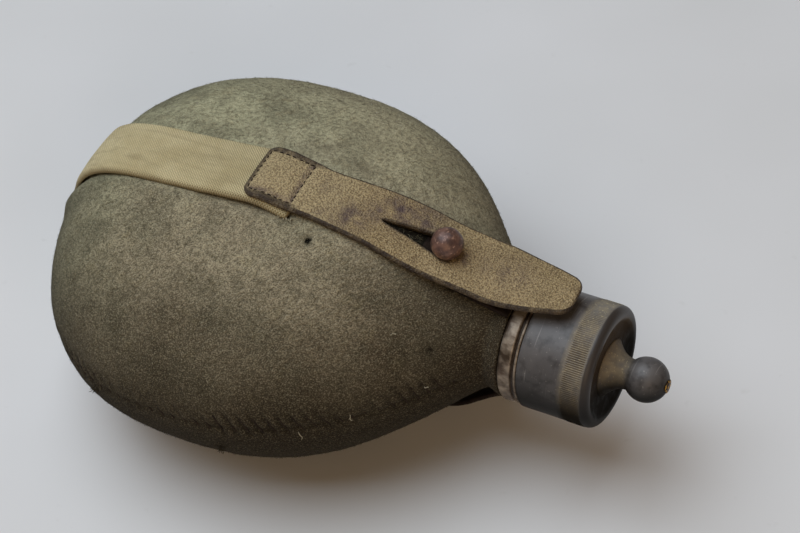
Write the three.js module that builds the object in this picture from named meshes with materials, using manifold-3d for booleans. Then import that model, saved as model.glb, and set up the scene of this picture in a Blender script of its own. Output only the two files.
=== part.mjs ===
// Field canteen: a felt-covered metal flask with a screw cap, a webbing strap and a leather tongue.
// Millimetres, +Z up. The flask lies on its back on z = 0 with its neck along +X and the tongue on top.
// Until the last lines, x runs from the flask's widest station and z from its seam plane and neck axis.
import * as THREE from 'three';
import { mergeVertices } from 'three/addons/utils/BufferGeometryUtils.js';
import { ParametricGeometry } from 'three/addons/geometries/ParametricGeometry.js';
import Module from 'manifold-3d';

const wasm = await Module();
wasm.setup();

// Clearances
const CLEAR = 0.3;
const THREAD_CLEAR = 0.6;

// Felt cover, outside sizes
const HALF_WIDTH = 72;
const BASE_LENGTH = 68.5;
const SHOULDER_LENGTH = 89;
const FRONT_DEPTH = 41;
const BACK_DEPTH = 50;
const REST_FLAT = 2.2;
const FELT = 4;
const FELT_UNDER_STRAP = 1.5;
const FELT_NECK_RADIUS = 17;
const FELT_NECK_LENGTH = 3.9;
const FELT_LIP = 1.5;

// Roundness of the base and of the shoulders, in plan and in depth
const BASE_POWER = { plan: 2.5, depth: 4.5 };
const SHOULDER_POWER = { plan: 2.4, depth: 3.2 };
const SHOULDER_SWEEP = { plan: 1.07, depth: 1.6 };

// Flask and neck
const WALL = 1.5;
const NECK_RADIUS = 14;
const NECK_WALL = 2.2;

// Collar on the neck, from the flange to the bead that the cap closes on
const FLANGE_RADIUS = 19.6;
const FLANGE_WIDTH = 4.6;
const GROOVE_DEPTH = 1.3;
const GROOVE_WIDTH = 1;
const BEAD_WIDTH = 1;
const BARREL_WALL = 1.8;
const BARREL_LENGTH = 16;

// Screw thread
const PITCH = 4;
const THREAD_HEIGHT = 1.4;
const THREAD_TURNS = 2.6;
const TOOTH_ROOT = 1.9;
const TOOTH_CREST = 1.1;
const THREAD_SINK = 0.4;
const THREAD_LEAD = 1.5;

// Cap
const CAP_RADIUS = 20;
const CAP_LENGTH = 24.2;
const CAP_ROUND = 2.5;
const CAP_DISH = 1;
const CAP_ROOF = 2;
const KNURL_LENGTH = 6;
const KNURL_DEPTH = 0.45;
const KNURL_COUNT = 64;
const GASKET = 2.5;
const GASKET_HOLE = 5.5;

// Knob, its rivet and washer
const KNOB_RADIUS = 7.25;
const KNOB_REACH = 12.6;
const KNOB_NECK = 5;
const KNOB_FOOT = 9.4;
const RIVET_RADIUS = 1.5;
const RIVET_HEAD = 3;
const RIVET_HEAD_HEIGHT = 1.1;
const PEEN_RADIUS = 2.3;
const PEEN_HEIGHT = 0.7;
const WASHER_RADIUS = 4.5;
const WASHER = 0.8;

// Webbing strap and leather
const STRAP_WIDTH = 23;
const STRAP = 2;
const STRAP_FRONT_END = 26;
const STRAP_BACK_GAP = 26.9;
const STRAP_SKEW = THREE.MathUtils.degToRad(2);
const LEATHER = 2;
const TONGUE_ROOT_START = 5.5;
const TONGUE_FOLD = 25.4;
const TONGUE_OVER_CAP = 12.1;
const TONGUE_ROOT_WIDTH = 22.6;
const TONGUE_ROOT_CORNER = 4;
const TONGUE_WIDTH = 25;
const TONGUE_PAST_STUD = 10.5;
const TONGUE_DROP = 10;
const TONGUE_TIP_WIDTH = 15;
const TONGUE_CORNER = 4;
const TONGUE_TIP_LIFT = 3.6;
const TONGUE_STUD_LIFT = 1.9;
const SLIT_LENGTH = 21;
const SLIT_HOLE = 4.2;

// Leather yoke round the neck
const YOKE = 1.8;
const YOKE_WIDTH = 18;
const YOKE_RIM = 4.5;
const YOKE_PAST_STUD = 7.5;
const YOKE_RISE = THREE.MathUtils.degToRad(18);
const YOKE_LAP = 12;

// Stud on the yoke
const STUD_FROM_NECK = 23.4;
const STUD_BALL = 5.2;
const STUD_HEIGHT = 7.2;
const STUD_NECK = 2.2;
const STUD_SHANK = 1.4;
const STUD_PEEN = 2.4;
const STUD_PEEN_HEIGHT = 0.5;
const STUD_WASHER_RADIUS = 5;
const STUD_WASHER = 0.6;

// Sewing thread
const STITCH = 0.8;
const STITCH_DEPTH = 0.5;
const STITCH_PROUD = 0.1;
const STITCH_INSET = 2;

// Mesh fineness
const AROUND = 36;
const BASE_STEPS = 9;
const SHOULDER_STEPS = 12;
const TURNED_STEPS = 48;
const SMALL_STEPS = 32;
const BALL_STEPS = 9;
const THREAD_STEPS = 24;
const LINE_STEPS = 30;

// Heights of the ground and of the strap's channel in the felt
const floorZ = REST_FLAT - BACK_DEPTH;
const channelZ = floorZ + STRAP + CLEAR;

// Places along the neck axis
const feltEnd = SHOULDER_LENGTH + FELT_NECK_LENGTH;
const yokeBack = feltEnd + CLEAR;
const yokeFront = yokeBack + YOKE;
const flangeBack = yokeFront + CLEAR;
const flangeFront = flangeBack + FLANGE_WIDTH;
const beadBack = flangeFront + GROOVE_WIDTH;
const beadFront = beadBack + BEAD_WIDTH;
const capRear = beadFront + CLEAR;
const capFront = capRear + CAP_LENGTH;
const dishFace = capFront - CAP_DISH;
const roofInside = dishFace - CAP_ROOF;
const gasketFront = roofInside - CLEAR;
const gasketBack = gasketFront - GASKET;
const mouth = gasketBack - CLEAR;
const knobCentre = dishFace + KNOB_REACH;
const rivetWasherBack = gasketFront - WASHER;
const peenAngle = Math.acos(PEEN_RADIUS / KNOB_RADIUS);
const knobFlat = knobCentre + KNOB_RADIUS * Math.sin(peenAngle);
const threadStart = beadFront + THREAD_LEAD + TOOTH_ROOT / 2;

// Places of the strap, the tongue and the yoke, from the neck
const studX = feltEnd - STUD_FROM_NECK;
const strapBackEnd = feltEnd - STRAP_BACK_GAP;
const yokeFrontEnd = studX - YOKE_PAST_STUD;
const tongueWidest = studX + TONGUE_PAST_STUD;
const tongueTip = capRear + TONGUE_OVER_CAP;

// Radii of the barrel and of the cap's bore, with their threads
const barrelBore = NECK_RADIUS + CLEAR;
const barrelRadius = barrelBore + BARREL_WALL;
const threadCrest = barrelRadius + THREAD_HEIGHT;
const capBore = threadCrest + THREAD_CLEAR;
const capThreadCrest = capBore - THREAD_HEIGHT;

// A closed solid from a geometry, with its faces turned outwards
function solid(geometry) {
  const bare = geometry.clone();
  bare.deleteAttribute('normal');
  bare.deleteAttribute('uv');
  const merged = mergeVertices(bare, 1e-4);
  const points = merged.getAttribute('position');
  const corner = [0, 1, 2].map(() => new THREE.Vector3());
  const triangles = [];
  let volume = 0;
  for (let i = 0; i < merged.index.count; i += 3) {
    const ids = [0, 1, 2].map((k) => merged.index.getX(i + k));
    if (new Set(ids).size < 3) continue;
    corner.forEach((c, k) => c.fromBufferAttribute(points, ids[k]));
    volume += corner[0].dot(corner[1].clone().cross(corner[2]));
    triangles.push(ids);
  }
  if (volume < 0) triangles.forEach((ids) => ids.reverse());
  return new wasm.Manifold(new wasm.Mesh({
    numProp: 3,
    vertProperties: new Float32Array(points.array),
    triVerts: new Uint32Array(triangles.flat()),
  }));
}

// A named mesh from a solid
function piece(name, shape, material) {
  const mesh = shape.getMesh();
  const geometry = new THREE.BufferGeometry();
  geometry.setAttribute('position', new THREE.BufferAttribute(new Float32Array(mesh.vertProperties), 3));
  geometry.setIndex(new THREE.BufferAttribute(new Uint32Array(mesh.triVerts), 1));
  geometry.computeVertexNormals();
  const result = new THREE.Mesh(geometry, material);
  result.name = name;
  return result;
}

function finish(color, roughness, metalness = 0) {
  return new THREE.MeshStandardMaterial({ color, roughness, metalness });
}

// A shape turned about the X axis, from [radius, x] points that start and end on the axis or close up
function turned(points, steps = TURNED_STEPS) {
  const outline = points.map(([radius, x]) => new THREE.Vector2(radius, x));
  return new THREE.LatheGeometry(outline, steps).rotateZ(-Math.PI / 2);
}

function ring(inner, outer, back, front, steps = TURNED_STEPS) {
  return turned([[inner, back], [outer, back], [outer, front], [inner, front], [inner, back]], steps);
}

function rod(radius, back, front) {
  return turned([[0, back], [radius, back], [radius, front], [0, front]], SMALL_STEPS);
}

// Points [radius, x] of an arc about a centre, between two angles measured from the radius
function arc(centre, size, from, to, steps) {
  return Array.from({ length: steps + 1 }, (_, i) => {
    const angle = from + ((to - from) * i) / steps;
    return [centre[0] + size * Math.cos(angle), centre[1] + size * Math.sin(angle)];
  });
}

function block(x0, x1, y0, y1, z0, z1) {
  const box = new THREE.BoxGeometry(x1 - x0, y1 - y0, z1 - z0);
  return box.translate((x0 + x1) / 2, (y0 + y1) / 2, (z0 + z1) / 2);
}

// A right-hand screw ridge about the X axis, closed at both ends
function ridge(root, crest, start) {
  const steps = Math.round(THREAD_TURNS * THREAD_STEPS);
  const tooth = [[root, -TOOTH_ROOT], [root, TOOTH_ROOT], [crest, TOOTH_CREST], [crest, -TOOTH_CREST]];
  const points = [];
  const index = [];
  for (let i = 0; i <= steps; i += 1) {
    const angle = (2 * Math.PI * i) / THREAD_STEPS;
    for (const [radius, width] of tooth) {
      const x = start + (PITCH * i) / THREAD_STEPS + width / 2;
      points.push(x, radius * Math.cos(angle), radius * Math.sin(angle));
    }
  }
  for (let i = 0; i < steps; i += 1) {
    for (let k = 0; k < 4; k += 1) {
      const a = 4 * i + k;
      const b = 4 * i + ((k + 1) % 4);
      index.push(a, b, b + 4, a, b + 4, a + 4);
    }
  }
  const last = 4 * steps;
  index.push(0, 2, 1, 0, 3, 2, last, last + 1, last + 2, last, last + 2, last + 3);
  const geometry = new THREE.BufferGeometry();
  geometry.setAttribute('position', new THREE.Float32BufferAttribute(points, 3));
  geometry.setIndex(index);
  return geometry;
}

// Outside sizes of the felt and of the flask, and a size that is larger or smaller all round
const feltSize = {
  base: BASE_LENGTH,
  width: HALF_WIDTH,
  front: FRONT_DEPTH,
  back: BACK_DEPTH,
  neck: FELT_NECK_RADIUS,
  lip: FELT_LIP,
};
const flaskSize = {
  base: BASE_LENGTH - FELT - CLEAR,
  width: HALF_WIDTH - FELT - CLEAR,
  front: FRONT_DEPTH - FELT - CLEAR,
  back: -channelZ - FELT_UNDER_STRAP - CLEAR,
  neck: NECK_RADIUS,
  lip: 0,
};

function grown(size, by) {
  const { base, width, front, back, neck, lip } = size;
  return { base: base + by, width: width + by, front: front + by, back: back + by, neck: neck + by, lip };
}

// Half width, front depth and back depth of a body at a station along the neck axis
function section(size, x) {
  const base = THREE.MathUtils.clamp(-x / size.base, 0, 1);
  const shoulder = THREE.MathUtils.clamp(x / SHOULDER_LENGTH, 0, 1);
  const share = (kind) => {
    if (x < 0) return Math.sqrt(1 - base ** BASE_POWER[kind]);
    return (1 - shoulder ** SHOULDER_POWER[kind]) ** SHOULDER_SWEEP[kind];
  };
  const neck = x < 0 ? 0 : size.neck;
  const lip = x > SHOULDER_LENGTH ? size.lip : 0;
  return {
    width: neck + lip + (size.width - neck) * share('plan'),
    front: neck + lip + (size.front - neck) * share('depth'),
    back: neck + lip + (size.back - neck) * share('depth'),
  };
}

// A closed body with the canteen's outline, ending flat at a place on the neck
function body(size, end) {
  const stations = [];
  for (let i = 0; i < BASE_STEPS; i += 1) {
    stations.push(-size.base * Math.cos((Math.PI / 2) * (i / BASE_STEPS)));
  }
  for (let i = 0; i <= SHOULDER_STEPS; i += 1) {
    stations.push((SHOULDER_LENGTH * i) / SHOULDER_STEPS);
  }
  stations.push(end);
  const rows = stations.length;
  const surface = (u, v, target) => {
    const row = Math.round(v * rows);
    const x = stations[Math.min(row, rows - 1)];
    const { width, front, back } = section(size, x);
    const angle = 2 * Math.PI * u;
    const depth = Math.sin(angle) > 0 ? front : back;
    target.set(x, width * Math.cos(angle), depth * Math.sin(angle));
    if (row === 0 || row === rows) target.set(x, 0, 0);
  };
  return new ParametricGeometry(surface, AROUND, rows);
}

// Points of the felt's outline in the strap's plane between two stations, on the front or the back
function feltLine(side, from, to, steps = LINE_STEPS) {
  return Array.from({ length: steps + 1 }, (_, i) => {
    const x = from + ((to - from) * (1 - Math.cos((Math.PI * i) / steps))) / 2;
    const { front, back } = section(feltSize, x);
    return new THREE.Vector2(x, side === 'front' ? front : Math.max(-back, channelZ));
  });
}

// A line moved outwards: to the right of its direction, with x to the right and z up
function offset(line, distance) {
  return line.map((point, i) => {
    const before = line[Math.max(i - 1, 0)];
    const after = line[Math.min(i + 1, line.length - 1)];
    const along = after.clone().sub(before).normalize();
    return new THREE.Vector2(point.x + along.y * distance, point.y - along.x * distance);
  });
}

// A band between two distances outside a line in the strap's plane
function band(line, low, high, width) {
  const outline = new THREE.Shape([...offset(line, low), ...offset(line, high).reverse()]);
  const geometry = new THREE.ExtrudeGeometry(outline, { depth: width, bevelEnabled: false });
  return geometry.rotateX(Math.PI / 2).translate(0, width / 2, 0);
}

// An upright prism over a plan outline, tall enough to cut the whole canteen
function prism(outline) {
  const reach = FRONT_DEPTH + BACK_DEPTH;
  const geometry = new THREE.ExtrudeGeometry(outline, { depth: 2 * reach, bevelEnabled: false });
  return geometry.translate(0, 0, -reach);
}

// A rectangular loop of stitching in plan, with a share of a gap all round
function stitchLoop(x0, x1, halfWidth, gap) {
  const frame = (x, w) => [[x0 - x, -w], [x1 + x, -w], [x1 + x, w], [x0 - x, w]]
    .map(([px, py]) => new THREE.Vector2(px, py));
  const outline = new THREE.Shape(frame(gap, halfWidth + gap));
  const inner = STITCH + gap;
  outline.holes.push(new THREE.Path(frame(-inner, halfWidth - inner)));
  return outline;
}

// The strap's own frame, turned in plan about the stud
const strap = new THREE.Group();
strap.rotation.z = STRAP_SKEW;
strap.position.set(studX * (1 - Math.cos(STRAP_SKEW)), -studX * Math.sin(STRAP_SKEW), 0);
strap.updateMatrix();
const skewed = (geometry) => geometry.applyMatrix4(strap.matrix);

// Lines in the strap's plane: the webbing, the yoke's two arms and the tongue
const strapLine = [
  ...feltLine('front', STRAP_FRONT_END, -BASE_LENGTH),
  ...feltLine('back', -BASE_LENGTH, strapBackEnd).slice(1),
];
const lipTop = FELT_NECK_RADIUS + FELT_LIP + CLEAR;
const yokeZ = (x) => lipTop + (feltEnd - x) * Math.tan(YOKE_RISE);
const yokeTop = (x) => yokeZ(x) + YOKE / Math.cos(YOKE_RISE);
const yokeFrontLine = (from, to) => [from, to].map((x) => new THREE.Vector2(x, yokeZ(x)));
const lapStart = strapBackEnd - YOKE_LAP;
const lapLine = offset(feltLine('back', lapStart, strapBackEnd, 6), STRAP + 2 * CLEAR);
const yokeBackLine = [
  ...lapLine,
  new THREE.Vector2(feltEnd, -lipTop),
  new THREE.Vector2(yokeFront, YOKE / 2 - lipTop),
];
const rootLift = STRAP + 2 * CLEAR;
const foldZ = section(feltSize, TONGUE_FOLD).front + rootLift;
const rootLine = offset(feltLine('front', STRAP_FRONT_END, 0, 8), rootLift);
const dropX = STRAP_FRONT_END + TONGUE_DROP;
const tongueSpline = new THREE.SplineCurve([
  new THREE.Vector2(tongueTip + CLEAR, CAP_RADIUS + TONGUE_TIP_LIFT),
  new THREE.Vector2(flangeFront, CAP_RADIUS + TONGUE_TIP_LIFT + 2 * CLEAR),
  new THREE.Vector2(studX, yokeTop(studX) + TONGUE_STUD_LIFT),
  new THREE.Vector2(dropX, section(feltSize, dropX).front + CLEAR),
  new THREE.Vector2(STRAP_FRONT_END + CLEAR, foldZ),
  new THREE.Vector2(STRAP_FRONT_END - TONGUE_DROP, foldZ),
]);
const tongueLine = tongueSpline.getPoints(LINE_STEPS).map((point) => {
  const lowest = section(feltSize, point.x).front + CLEAR;
  return new THREE.Vector2(point.x, Math.max(point.y, lowest));
});

const yokeStitchHalf = YOKE_WIDTH / 2 - STITCH_INSET;
const rootStitchHalf = TONGUE_ROOT_WIDTH / 2 - STITCH_INSET;

// The stud's frame: its X axis stands on the yoke's top
const studFrame = new THREE.Matrix4().makeRotationY(YOKE_RISE - Math.PI / 2);
studFrame.setPosition(studX, 0, yokeTop(studX));
const washerTop = -YOKE - CLEAR;
const washerBottom = washerTop - STUD_WASHER;
const peenTop = washerBottom - CLEAR;
const peenBottom = peenTop - STUD_PEEN_HEIGHT;

function flaskShell() {
  const cavity = { ...grown(flaskSize, -WALL), neck: NECK_RADIUS - NECK_WALL };
  return solid(body(flaskSize, mouth)).subtract(solid(body(cavity, mouth + WALL)));
}

function neckCollar() {
  const end = beadFront + BARREL_LENGTH;
  const bead = FLANGE_RADIUS - CLEAR;
  const sleeve = turned([
    [barrelBore, flangeBack],
    [FLANGE_RADIUS, flangeBack],
    [FLANGE_RADIUS, flangeFront],
    [FLANGE_RADIUS - GROOVE_DEPTH, flangeFront],
    [FLANGE_RADIUS - GROOVE_DEPTH, beadBack],
    [bead, beadBack],
    [bead, beadFront],
    [barrelRadius, beadFront],
    [barrelRadius, end],
    [barrelBore, end],
    [barrelBore, flangeBack],
  ]);
  return solid(sleeve).add(solid(ridge(barrelRadius - THREAD_SINK, threadCrest, threadStart)));
}

// Both felt halves: the front has a pocket for the stud, the back a channel for the strap and a flat
function feltHalves() {
  const inside = body(grown(flaskSize, CLEAR), feltEnd + FELT);
  const whole = solid(body(feltSize, feltEnd)).subtract(solid(inside));
  const far = HALF_WIDTH + BASE_LENGTH + SHOULDER_LENGTH;
  const above = solid(block(-far, far, -far, far, CLEAR / 2, far));
  const below = solid(block(-far, far, -far, far, floorZ, -CLEAR / 2));
  const seatLine = yokeFrontLine(studX + STUD_WASHER_RADIUS, yokeFrontEnd - CLEAR);
  const seat = band(seatLine, -CLEAR, FELT, YOKE_WIDTH + 2 * CLEAR);
  const pocket = rod(STUD_WASHER_RADIUS + CLEAR, peenBottom - CLEAR, 0).applyMatrix4(studFrame);
  const backLine = feltLine('back', -BASE_LENGTH, strapBackEnd);
  const channel = band(backLine, -CLEAR / 2, STRAP + FELT, STRAP_WIDTH + 2 * CLEAR);
  return {
    front: whole.intersect(above).subtract(solid(skewed(seat))).subtract(solid(skewed(pocket))),
    back: whole.intersect(below).subtract(solid(skewed(channel))),
  };
}

// A loop of stitching on a leather surface, or with a gap the groove that it lies in
function stitching(line, leather, x0, x1, halfWidth, gap) {
  const layer = band(line, leather - STITCH_DEPTH - gap, leather + STITCH_PROUD + gap, 4 * halfWidth);
  return [layer, prism(stitchLoop(x0 + STITCH_INSET, x1 - STITCH_INSET, halfWidth, gap))];
}

function yokeStitching(gap) {
  return stitching(lapLine, YOKE, lapStart, strapBackEnd, yokeStitchHalf, gap);
}

function rootStitching(gap) {
  return stitching(rootLine, LEATHER, TONGUE_ROOT_START, TONGUE_FOLD, rootStitchHalf, gap);
}

const overlapOf = (shapes) => shapes.map(solid).reduce((a, b) => a.intersect(b));

// One piece of leather: a disc round the neck, an arm under the tongue and an arm sewn to the webbing
function neckYoke() {
  const hole = NECK_RADIUS + CLEAR;
  const disc = solid(ring(hole, hole + YOKE_RIM, yokeBack, yokeFront));
  const front = solid(skewed(band(yokeFrontLine(yokeFront, yokeFrontEnd), 0, YOKE, YOKE_WIDTH)));
  const back = solid(skewed(band(yokeBackLine, 0, YOKE, YOKE_WIDTH)));
  const bore = rod(STUD_SHANK + CLEAR, -STUD_BALL, STUD_BALL).applyMatrix4(studFrame);
  const groove = overlapOf(yokeStitching(CLEAR).map(skewed));
  const room = solid(block(0, yokeFront, -HALF_WIDTH, HALF_WIDTH, -BACK_DEPTH, FRONT_DEPTH));
  return disc.add(front).add(back).intersect(room).subtract(solid(skewed(bore))).subtract(groove);
}

function webbingStrap() {
  return solid(band(strapLine, CLEAR, CLEAR + STRAP, STRAP_WIDTH));
}

// The sewn end of the tongue, with two rounded corners and a groove for its stitching
function tongueRoot() {
  const half = TONGUE_ROOT_WIDTH / 2;
  const end = TONGUE_FOLD - CLEAR / 2;
  const plan = new THREE.Shape();
  plan.moveTo(end, -half);
  plan.lineTo(end, half);
  plan.lineTo(TONGUE_ROOT_START + TONGUE_ROOT_CORNER, half);
  plan.quadraticCurveTo(TONGUE_ROOT_START, half, TONGUE_ROOT_START, half - TONGUE_ROOT_CORNER);
  plan.lineTo(TONGUE_ROOT_START, TONGUE_ROOT_CORNER - half);
  plan.quadraticCurveTo(TONGUE_ROOT_START, -half, TONGUE_ROOT_START + TONGUE_ROOT_CORNER, -half);
  const leather = solid(band(rootLine, 0, LEATHER, 2 * TONGUE_WIDTH)).intersect(solid(prism(plan)));
  return leather.subtract(overlapOf(rootStitching(CLEAR)));
}

// The free flap of the tongue: it widens to the stud, narrows to a blunt tip and is slit for the stud
function tongueFlap() {
  const root = TONGUE_ROOT_WIDTH / 2;
  const wide = TONGUE_WIDTH / 2;
  const tip = TONGUE_TIP_WIDTH / 2;
  const start = TONGUE_FOLD + CLEAR / 2;
  const rise = (tongueWidest - start) / 2;
  const fall = (tongueTip - tongueWidest) / 2;
  const plan = new THREE.Shape();
  plan.moveTo(start, -root);
  plan.bezierCurveTo(start + rise, -root, tongueWidest - rise, -wide, tongueWidest, -wide);
  plan.quadraticCurveTo(tongueWidest + fall / 2, -wide, tongueTip - TONGUE_CORNER, -tip);
  plan.quadraticCurveTo(tongueTip, TONGUE_CORNER / 2 - tip, tongueTip, TONGUE_CORNER - tip);
  plan.lineTo(tongueTip, tip - TONGUE_CORNER);
  plan.quadraticCurveTo(tongueTip, tip - TONGUE_CORNER / 2, tongueTip - TONGUE_CORNER, tip);
  plan.quadraticCurveTo(tongueWidest + fall / 2, wide, tongueWidest, wide);
  plan.bezierCurveTo(tongueWidest - rise, wide, start + rise, root, start, root);
  const tangent = Math.PI - Math.acos(SLIT_HOLE / SLIT_LENGTH);
  const slitPlan = new THREE.Shape();
  slitPlan.moveTo(-SLIT_LENGTH, 0);
  slitPlan.lineTo(SLIT_HOLE * Math.cos(tangent), -SLIT_HOLE * Math.sin(tangent));
  slitPlan.absarc(0, 0, SLIT_HOLE, -tangent, tangent, false);
  const slit = prism(slitPlan).rotateY(YOKE_RISE).translate(studX, 0, yokeTop(studX));
  const leather = solid(band(tongueLine, 0, LEATHER, 2 * TONGUE_WIDTH)).intersect(solid(prism(plan)));
  return leather.subtract(solid(slit));
}

// A ball on a neck, with a shank through the yoke and its washer to a peened end
function stud() {
  const neckAngle = Math.acos(STUD_NECK / STUD_BALL);
  return solid(turned([
    [0, peenBottom],
    [STUD_PEEN, peenBottom],
    [STUD_PEEN, peenTop],
    [STUD_SHANK, peenTop],
    [STUD_SHANK, CLEAR],
    [STUD_NECK, CLEAR],
    ...arc([0, STUD_HEIGHT], STUD_BALL, -neckAngle, Math.PI / 2, BALL_STEPS).slice(0, -1),
    [0, STUD_HEIGHT + STUD_BALL],
  ], SMALL_STEPS).applyMatrix4(studFrame));
}

function studWasher() {
  const washer = ring(STUD_SHANK + CLEAR, STUD_WASHER_RADIUS, washerBottom, washerTop, SMALL_STEPS);
  return solid(washer.applyMatrix4(studFrame));
}

// The ring-shaped cutter that leaves a band of fine upright ridges
function knurlCutter() {
  const outline = new THREE.Shape();
  outline.absarc(0, 0, CAP_RADIUS + CAP_ROUND, 0, 2 * Math.PI, false);
  const teeth = Array.from({ length: 2 * KNURL_COUNT }, (_, i) => {
    const radius = i % 2 ? CAP_RADIUS + KNURL_DEPTH / 4 : CAP_RADIUS - KNURL_DEPTH;
    const angle = (Math.PI * i) / KNURL_COUNT;
    return new THREE.Vector2(radius * Math.cos(angle), radius * Math.sin(angle));
  });
  outline.holes.push(new THREE.Path(teeth));
  const geometry = new THREE.ExtrudeGeometry(outline, { depth: KNURL_LENGTH, bevelEnabled: false });
  return geometry.rotateY(Math.PI / 2).translate(capFront - CAP_ROUND - KNURL_LENGTH, 0, 0);
}

function capShell() {
  const hole = RIVET_RADIUS + CLEAR;
  const shell = turned([
    [capBore, capRear],
    [CAP_RADIUS, capRear],
    ...arc([CAP_RADIUS - CAP_ROUND, capFront - CAP_ROUND], CAP_ROUND, 0, Math.PI / 2, 5),
    [KNOB_FOOT + CAP_DISH, dishFace],
    [hole, dishFace],
    [hole, roofInside],
    [capBore, roofInside],
    [capBore, capRear],
  ]);
  const screw = ridge(capBore + THREAD_SINK, capThreadCrest, threadStart + PITCH / 2);
  return solid(shell).subtract(solid(knurlCutter())).add(solid(screw));
}

// A ball on a flared foot, bored for the rivet and flat where the rivet is peened over
function capKnob() {
  const hole = RIVET_RADIUS + CLEAR;
  const foot = dishFace + CLEAR;
  const flare = KNOB_FOOT - KNOB_NECK;
  const edge = foot + 2 * CLEAR;
  return solid(turned([
    [hole, foot],
    [KNOB_FOOT, foot],
    ...arc([KNOB_FOOT, edge + flare], flare, -Math.PI / 2, -Math.PI, 4),
    ...arc([0, knobCentre], KNOB_RADIUS, -Math.acos(KNOB_NECK / KNOB_RADIUS), peenAngle, BALL_STEPS),
    [hole, knobFlat],
    [hole, foot],
  ]));
}

function knobRivet() {
  const front = rivetWasherBack - CLEAR;
  return solid(turned([
    [0, front - RIVET_HEAD_HEIGHT],
    [RIVET_HEAD, front - RIVET_HEAD_HEIGHT],
    [RIVET_HEAD, front],
    [RIVET_RADIUS, front],
    [RIVET_RADIUS, knobFlat + CLEAR],
    [PEEN_RADIUS, knobFlat + CLEAR],
    [PEEN_RADIUS / 2, knobFlat + CLEAR + PEEN_HEIGHT],
    [0, knobFlat + CLEAR + PEEN_HEIGHT],
  ], SMALL_STEPS));
}

function rivetWasher() {
  return solid(ring(RIVET_RADIUS + CLEAR, WASHER_RADIUS, rivetWasherBack, gasketFront, SMALL_STEPS));
}

function capGasket() {
  return solid(ring(GASKET_HOLE, capBore - CLEAR, gasketBack, gasketFront));
}

const feltFinish = finish(0x6f6b58, 0.98);
const webFinish = finish(0x9e9171, 0.95);
const leatherFinish = finish(0x8a7550, 0.75);
const darkLeather = finish(0x4a3524, 0.75);
const threadFinish = finish(0x3a2c20, 0.9);
const aluminium = finish(0xb4b2ac, 0.4, 0.9);
const collarMetal = finish(0x8c8478, 0.45, 0.85);
const capMetal = finish(0x4b4748, 0.5, 0.6);
const studMetal = finish(0x4c3b31, 0.55, 0.7);
const brass = finish(0xa8823c, 0.4, 0.9);
const cork = finish(0xa98057, 0.9);

const felt = feltHalves();
const canteen = new THREE.Group();
canteen.add(
  piece('flask_shell', flaskShell(), aluminium),
  piece('neck_collar', neckCollar(), collarMetal),
  piece('felt_front', felt.front, feltFinish),
  piece('felt_back', felt.back, feltFinish),
  piece('neck_yoke', neckYoke(), darkLeather),
  piece('cap_gasket', capGasket(), cork),
  piece('cap_shell', capShell(), capMetal),
  piece('cap_knob', capKnob(), capMetal),
  piece('knob_rivet', knobRivet(), brass),
  piece('rivet_washer', rivetWasher(), brass),
  strap,
);
strap.add(
  piece('webbing_strap', webbingStrap(), webFinish),
  piece('tongue_root', tongueRoot(), leatherFinish),
  piece('tongue_flap', tongueFlap(), leatherFinish),
  piece('tongue_stitching', overlapOf(rootStitching(0)), threadFinish),
  piece('yoke_stitching', overlapOf(yokeStitching(0)), threadFinish),
  piece('stud', stud(), studMetal),
  piece('stud_washer', studWasher(), studMetal),
);

// The part's origin is the middle of its box, on the ground
const box = new THREE.Box3().setFromObject(canteen);
const middle = box.getCenter(new THREE.Vector3());
canteen.position.set(-middle.x, -middle.y, -floorZ);

const part = new THREE.Group();
part.add(canteen);
export default part;
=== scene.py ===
import math
import random

import bmesh
import bpy
import numpy as np
from mathutils import Matrix, Vector, noise


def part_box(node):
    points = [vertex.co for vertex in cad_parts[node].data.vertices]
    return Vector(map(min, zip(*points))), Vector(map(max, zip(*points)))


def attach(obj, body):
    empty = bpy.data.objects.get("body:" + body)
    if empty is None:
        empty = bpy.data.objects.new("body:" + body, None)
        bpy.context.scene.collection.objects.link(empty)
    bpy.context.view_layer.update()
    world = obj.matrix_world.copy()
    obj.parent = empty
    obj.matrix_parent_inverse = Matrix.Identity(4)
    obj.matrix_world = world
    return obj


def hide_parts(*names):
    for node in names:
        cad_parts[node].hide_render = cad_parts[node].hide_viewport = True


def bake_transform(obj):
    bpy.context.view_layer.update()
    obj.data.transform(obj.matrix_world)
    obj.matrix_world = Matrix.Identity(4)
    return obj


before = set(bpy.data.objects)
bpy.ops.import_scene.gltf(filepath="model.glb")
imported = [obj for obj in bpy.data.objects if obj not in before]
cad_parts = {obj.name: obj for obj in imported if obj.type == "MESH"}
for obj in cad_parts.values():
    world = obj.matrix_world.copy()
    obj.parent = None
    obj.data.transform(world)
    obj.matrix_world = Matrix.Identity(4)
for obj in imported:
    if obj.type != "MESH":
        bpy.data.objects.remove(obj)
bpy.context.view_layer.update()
random.seed(11)

MM = 0.001

# Camera, solved from the outline in the photograph
IMAGE_WIDTH = 800
IMAGE_HEIGHT = 533
FOCAL_PIXELS = 2290.76
CAMERA_DISTANCE = 765.08
CAMERA_AZIMUTH = math.radians(34.64)
CAMERA_ELEVATION = math.radians(46.82)
CAMERA_ROLL = math.radians(-9.1)
ORIGIN_PIXEL = (266.62, 256.43)

# Lights, each with its size, power, colour and place in metres, and the room's own light
LIGHTS = (("window", 1.5, 23.3, (0.79, 0.89, 1), (-0.42, -0.12, 1.49)),
          ("fill", 0.9, 3.4, (1, 0.75, 0.5), (0.68, -0.98, 0.63)))
ROOM_COLOUR = (1, 0.7, 0.45, 1)
ROOM_STRENGTH = 0.12

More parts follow.
